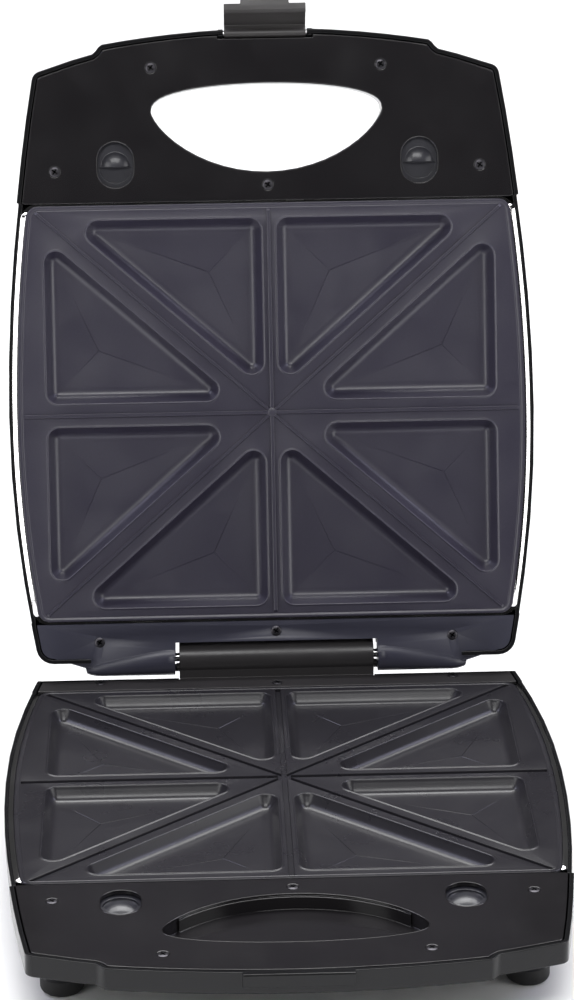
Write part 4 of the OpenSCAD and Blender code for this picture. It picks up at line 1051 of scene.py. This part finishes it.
def add_groove_floors(plate):
    """Each floor lies a hair higher than the last, so no two share a plane where they cross."""
    for k, (angle, share) in enumerate(LINES.values()):
        low, high = line_reach(angle, LAND_IN)
        half, depth = GROOVE_W / 2 * share, GROOVE_T - 0.01 * k
        under = depth + FLOOR_T
        section = [(-half, -under), (-half, -depth), (half, -depth), (half, -under)]
        add_bar(plate, angle, section, low, high, BLUNT)


print("sector corners:", len(sector("inner", 1, 1, 0.0)), "and", len(sector("outer", 1, 1, 0.0)))

# %% [markdown]
# Now the parts come together. Above, the land is one flat face with eight holes. Below, each sector
# has its own hole. Both plates have two lugs in front, which the catches hold, and two at the hinge.

# %% Build both plates
LUG_HALF, LUG_REACH, LUG_ROOT = 12, 4.9, 1
# place, depths from and to
FRONT_LUG_X, FRONT_LUG_FROM, FRONT_LUG_TO = 85.8, 6.45, 8.25
REAR_LUG_X, REAR_LUG_FROM, REAR_LUG_TO = 97.0, 3.8, 5.6


def add_lugs(plate, sx):
    """The two lugs of one side, each rooted a little inside the plate."""
    x = sx * FRONT_LUG_X
    plate.box((x - LUG_HALF, PLATE_Y0 - LUG_REACH, FRONT_LUG_FROM),
              (x + LUG_HALF, PLATE_Y0 + LUG_ROOT, FRONT_LUG_TO))
    x = sx * REAR_LUG_X
    plate.box((x - LUG_HALF, PLATE_Y1 - LUG_ROOT, REAR_LUG_FROM),
              (x + LUG_HALF, PLATE_Y1 + LUG_REACH, REAR_LUG_TO))


def build_plate(name, node, to_row, material, body, ribs):
    plate = Moulding()
    holes = []
    for sx in (1, -1):
        for sy in (1, -1):
            for kind in ("inner", "outer"):
                corners = pocket_corners(kind)
                rim = add_pocket(plate, corners, sx, sy)
                holes.append(rim)
                for corner, share in zip(corners, CREASE_REACH[kind]):
                    add_crease(plate, corners, corner, share, sx, sy)
                if not ribs:
                    add_sector(plate, kind, sx, sy, rim)
    rings = [plate.ring(plate_outline(e), PLATE_D + depth) for e, depth in EDGE_PROFILE]
    for a, b in zip(rings, rings[1:]):
        plate.strip(a, b)
    plate.cap(rings[-1])
    if ribs:
        plate.fill([rings[1]] + holes)
        add_ribs(plate)
    else:
        add_groove_floors(plate)
    for sx in (1, -1):
        add_lugs(plate, sx)
    obj = plate.build(name, to_row, material)
    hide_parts(node)
    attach(obj, body)
    return obj


upper_plate = build_plate("upper_plate", "lid_plate", lid_point, coating_lid_painted_sheen, "lid", ribs=True)
lower_plate = build_plate("lower_plate", "base_plate", base_point, coating_base_painted_shade, "base", ribs=False)
for p in (upper_plate, lower_plate):
    print(p.name, len(p.data.polygons), "faces")

# %% [markdown]
# ## The trays' rolled lips
# Each plate sits in a polished pan whose edge is rolled over into a narrow lip. The lip leans
# outwards, so along the flanks it mirrors the bright room beside the machine and shows as a white
# strip between the black shell and the dark plate. A curve with a bevel would keep one section all
# round, but the lip has to lie down under the decks. So we sweep the section between two outlines
# and scale its height by how nearly the outline runs along the flank.

# %% Roll the lips
TRAY_TOP = 1.3                     # depth of the tray's flange
LIP_IN, LIP_FRONT, LIP_R = 2.05, 0.95, 9.0     # from the flank, past the plate in front and behind, corner
LIP_GAP = 0.15                     # the lip's inner edge tucks under the plate's edge by this
LIP_LOW, LIP_FALL = 0.3, 10        # how deep it lies under the decks, and how soon it lies down
LIP_CREASED_DEG = 50
# share of the way from the lip's outer to its inner edge, and height above the flange
LIP = [(0.0, 0.0), (0.0, 0.08), (0.03, 0.14), (0.1, 0.2), (0.5, 0.66), (0.9, 1.1), (0.96, 1.1), (1.0, 0.95),
       (1.0, 0.0)]


def roll_lip(name, to_row, body):
    lip = Moulding()
    outer = pan(LIP_IN, PLATE_Y0 - LIP_FRONT, PLATE_Y1 + LIP_FRONT, LIP_R, steps=16, rows=24)
    inner = pan(PLATE_IN - LIP_GAP, PLATE_Y0 - LIP_GAP, PLATE_Y1 + LIP_GAP, PLATE_R + LIP_GAP,
                steps=16, rows=24)
    along = np.roll(outer, -1, 0) - np.roll(outer, 1, 0)
    straight = np.abs(along[:, 1]) / np.linalg.norm(along, axis=1)
    stand = (1 + LIP_LOW) * straight ** LIP_FALL - LIP_LOW
    rings = [lip.ring(outer + (inner - outer) * share, TRAY_TOP - height * stand) for share, height in LIP]
    for a, b in zip(rings, rings[1:] + rings[:1]):
        lip.strip(a, b)
    obj = lip.build(name, to_row, tray_steel, LIP_CREASED_DEG)
    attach(obj, body)
    return obj


upper_lip = roll_lip("upper_tray_lip", lid_point, "lid")
lower_lip = roll_lip("lower_tray_lip", base_point, "base")
print("lips:", len(upper_lip.data.polygons), "and", len(lower_lip.data.polygons), "faces")

# %% [markdown]
# ## Floor and light
# Black plastic shows only what it mirrors, so here we place reflections more than light. The pale
# floor gives the machine its outline. It is one plain sheet that fills the main camera's view.

# %% The floor
FLOOR_HALF = 6.0


def add_floor():
    mesh = bpy.data.meshes.new("floor")
    corners = [(x * FLOOR_HALF, y * FLOOR_HALF, 0) for x, y in ((-1, -1), (1, -1), (1, 1), (-1, 1))]
    mesh.from_pydata(corners, [], [(0, 1, 2, 3)])
    mesh.materials.append(finish("pale_floor", (0.90, 0.90, 0.90), 0.8, rough_var=0.02, rough_mm=400,
                                 tint=(0.92, 0.92, 0.92), specular=0.1))
    add_object("floor", mesh)


add_floor()
print("floor:", 2 * FLOOR_HALF, "m wide")

# %% [markdown]
# A broad soft light overhead catches every wall that faces up, and a wide one high behind whitens
# the floor as far as we see. The lights on both sides draw an edge along the walls that face them,
# the two high ones a little bluish. Small bright lamps would show as hot dots in the screws, so all
# are large rectangles.

# %% Soft lights
def add_area(name, place, target, size, power, colour):
    data = bpy.data.lights.new(name, "AREA")
    data.shape = "RECTANGLE"
    data.size, data.size_y = size
    data.energy = power
    data.color = colour
    lamp = add_object(name, data)
    lamp.location = place
    lamp.rotation_euler = (Vector(target) - Vector(place)).to_track_quat("-Z", "Y").to_euler()


WHITE, BLUISH = (1, 1, 1), (0.78, 0.78, 1.0)
# name, place and what it faces in metres, size, power in watts, colour
LIGHTS = [
    ("overhead", (0, 0.75, 2.3), (0, 0.1, 0), (1.2, 0.9), 10, WHITE),
    ("backdrop", (0, 1.5, 3.4), (0, 1.1, 0), (5.0, 1.8), 190, WHITE),
    ("front_top", (-0.1, -1.25, 1.75), (0, 0.1, 0.25), (1.4, 0.6), 20, WHITE),
    ("left", (-1.2, -1.25, 0.7), (0, 0.1, 0.25), (0.7, 1.2), 9, WHITE),
    ("right", (1.5, -0.85, 0.6), (0, 0.1, 0.25), (1.0, 1.2), 11, WHITE),
    ("left_high", (-1.5, 0.2, 1.45), (0, 0, 0.1), (0.7, 0.7), 8, BLUISH),
    ("right_high", (1.5, 0.2, 1.45), (0, 0, 0.1), (0.7, 0.7), 8, BLUISH),
]
for light in LIGHTS:
    add_area(*light)
print("lights:", len(LIGHTS))

# %% [markdown]
# The room itself is pale behind, where the edges of the mouldings mirror it, and dim in front, so
# the decks that face us stay black. A picture of a room would put its windows into every curve. Two
# smooth ramps over the direction of view are enough, one from front to back and one towards the top.

# %% The room
# direction, where it starts to brighten and where it is full, least and most strength
RAMPS = [("Y", -0.2, 0.6, 0.13, 0.85), ("Z", 0.55, 0.95, 0.0, 0.6)]


def add_room():
    """A room that is pale behind and overhead, and dim in front at the height of the eye."""
    world = bpy.data.worlds.new("studio")
    world.use_nodes = True
    new, link = world.node_tree.nodes.new, world.node_tree.links.new
    ground = world.node_tree.nodes["Background"]
    coords = new("ShaderNodeTexCoord")
    split = new("ShaderNodeSeparateXYZ")
    total = new("ShaderNodeMath")
    link(coords.outputs["Generated"], split.inputs["Vector"])
    for slot, (axis, low, high, least, most) in enumerate(RAMPS):
        ramp = new("ShaderNodeMapRange")
        ramp.interpolation_type = "SMOOTHSTEP"
        for socket, value in (("From Min", low), ("From Max", high), ("To Min", least), ("To Max", most)):
            ramp.inputs[socket].default_value = value
        link(split.outputs[axis], ramp.inputs["Value"])
        link(ramp.outputs["Result"], total.inputs[slot])
    link(total.outputs["Value"], ground.inputs["Strength"])
    bpy.context.scene.world = world


add_room()
bpy.context.scene.view_settings.view_transform = "Standard"
print("room ramps:", len(RAMPS))
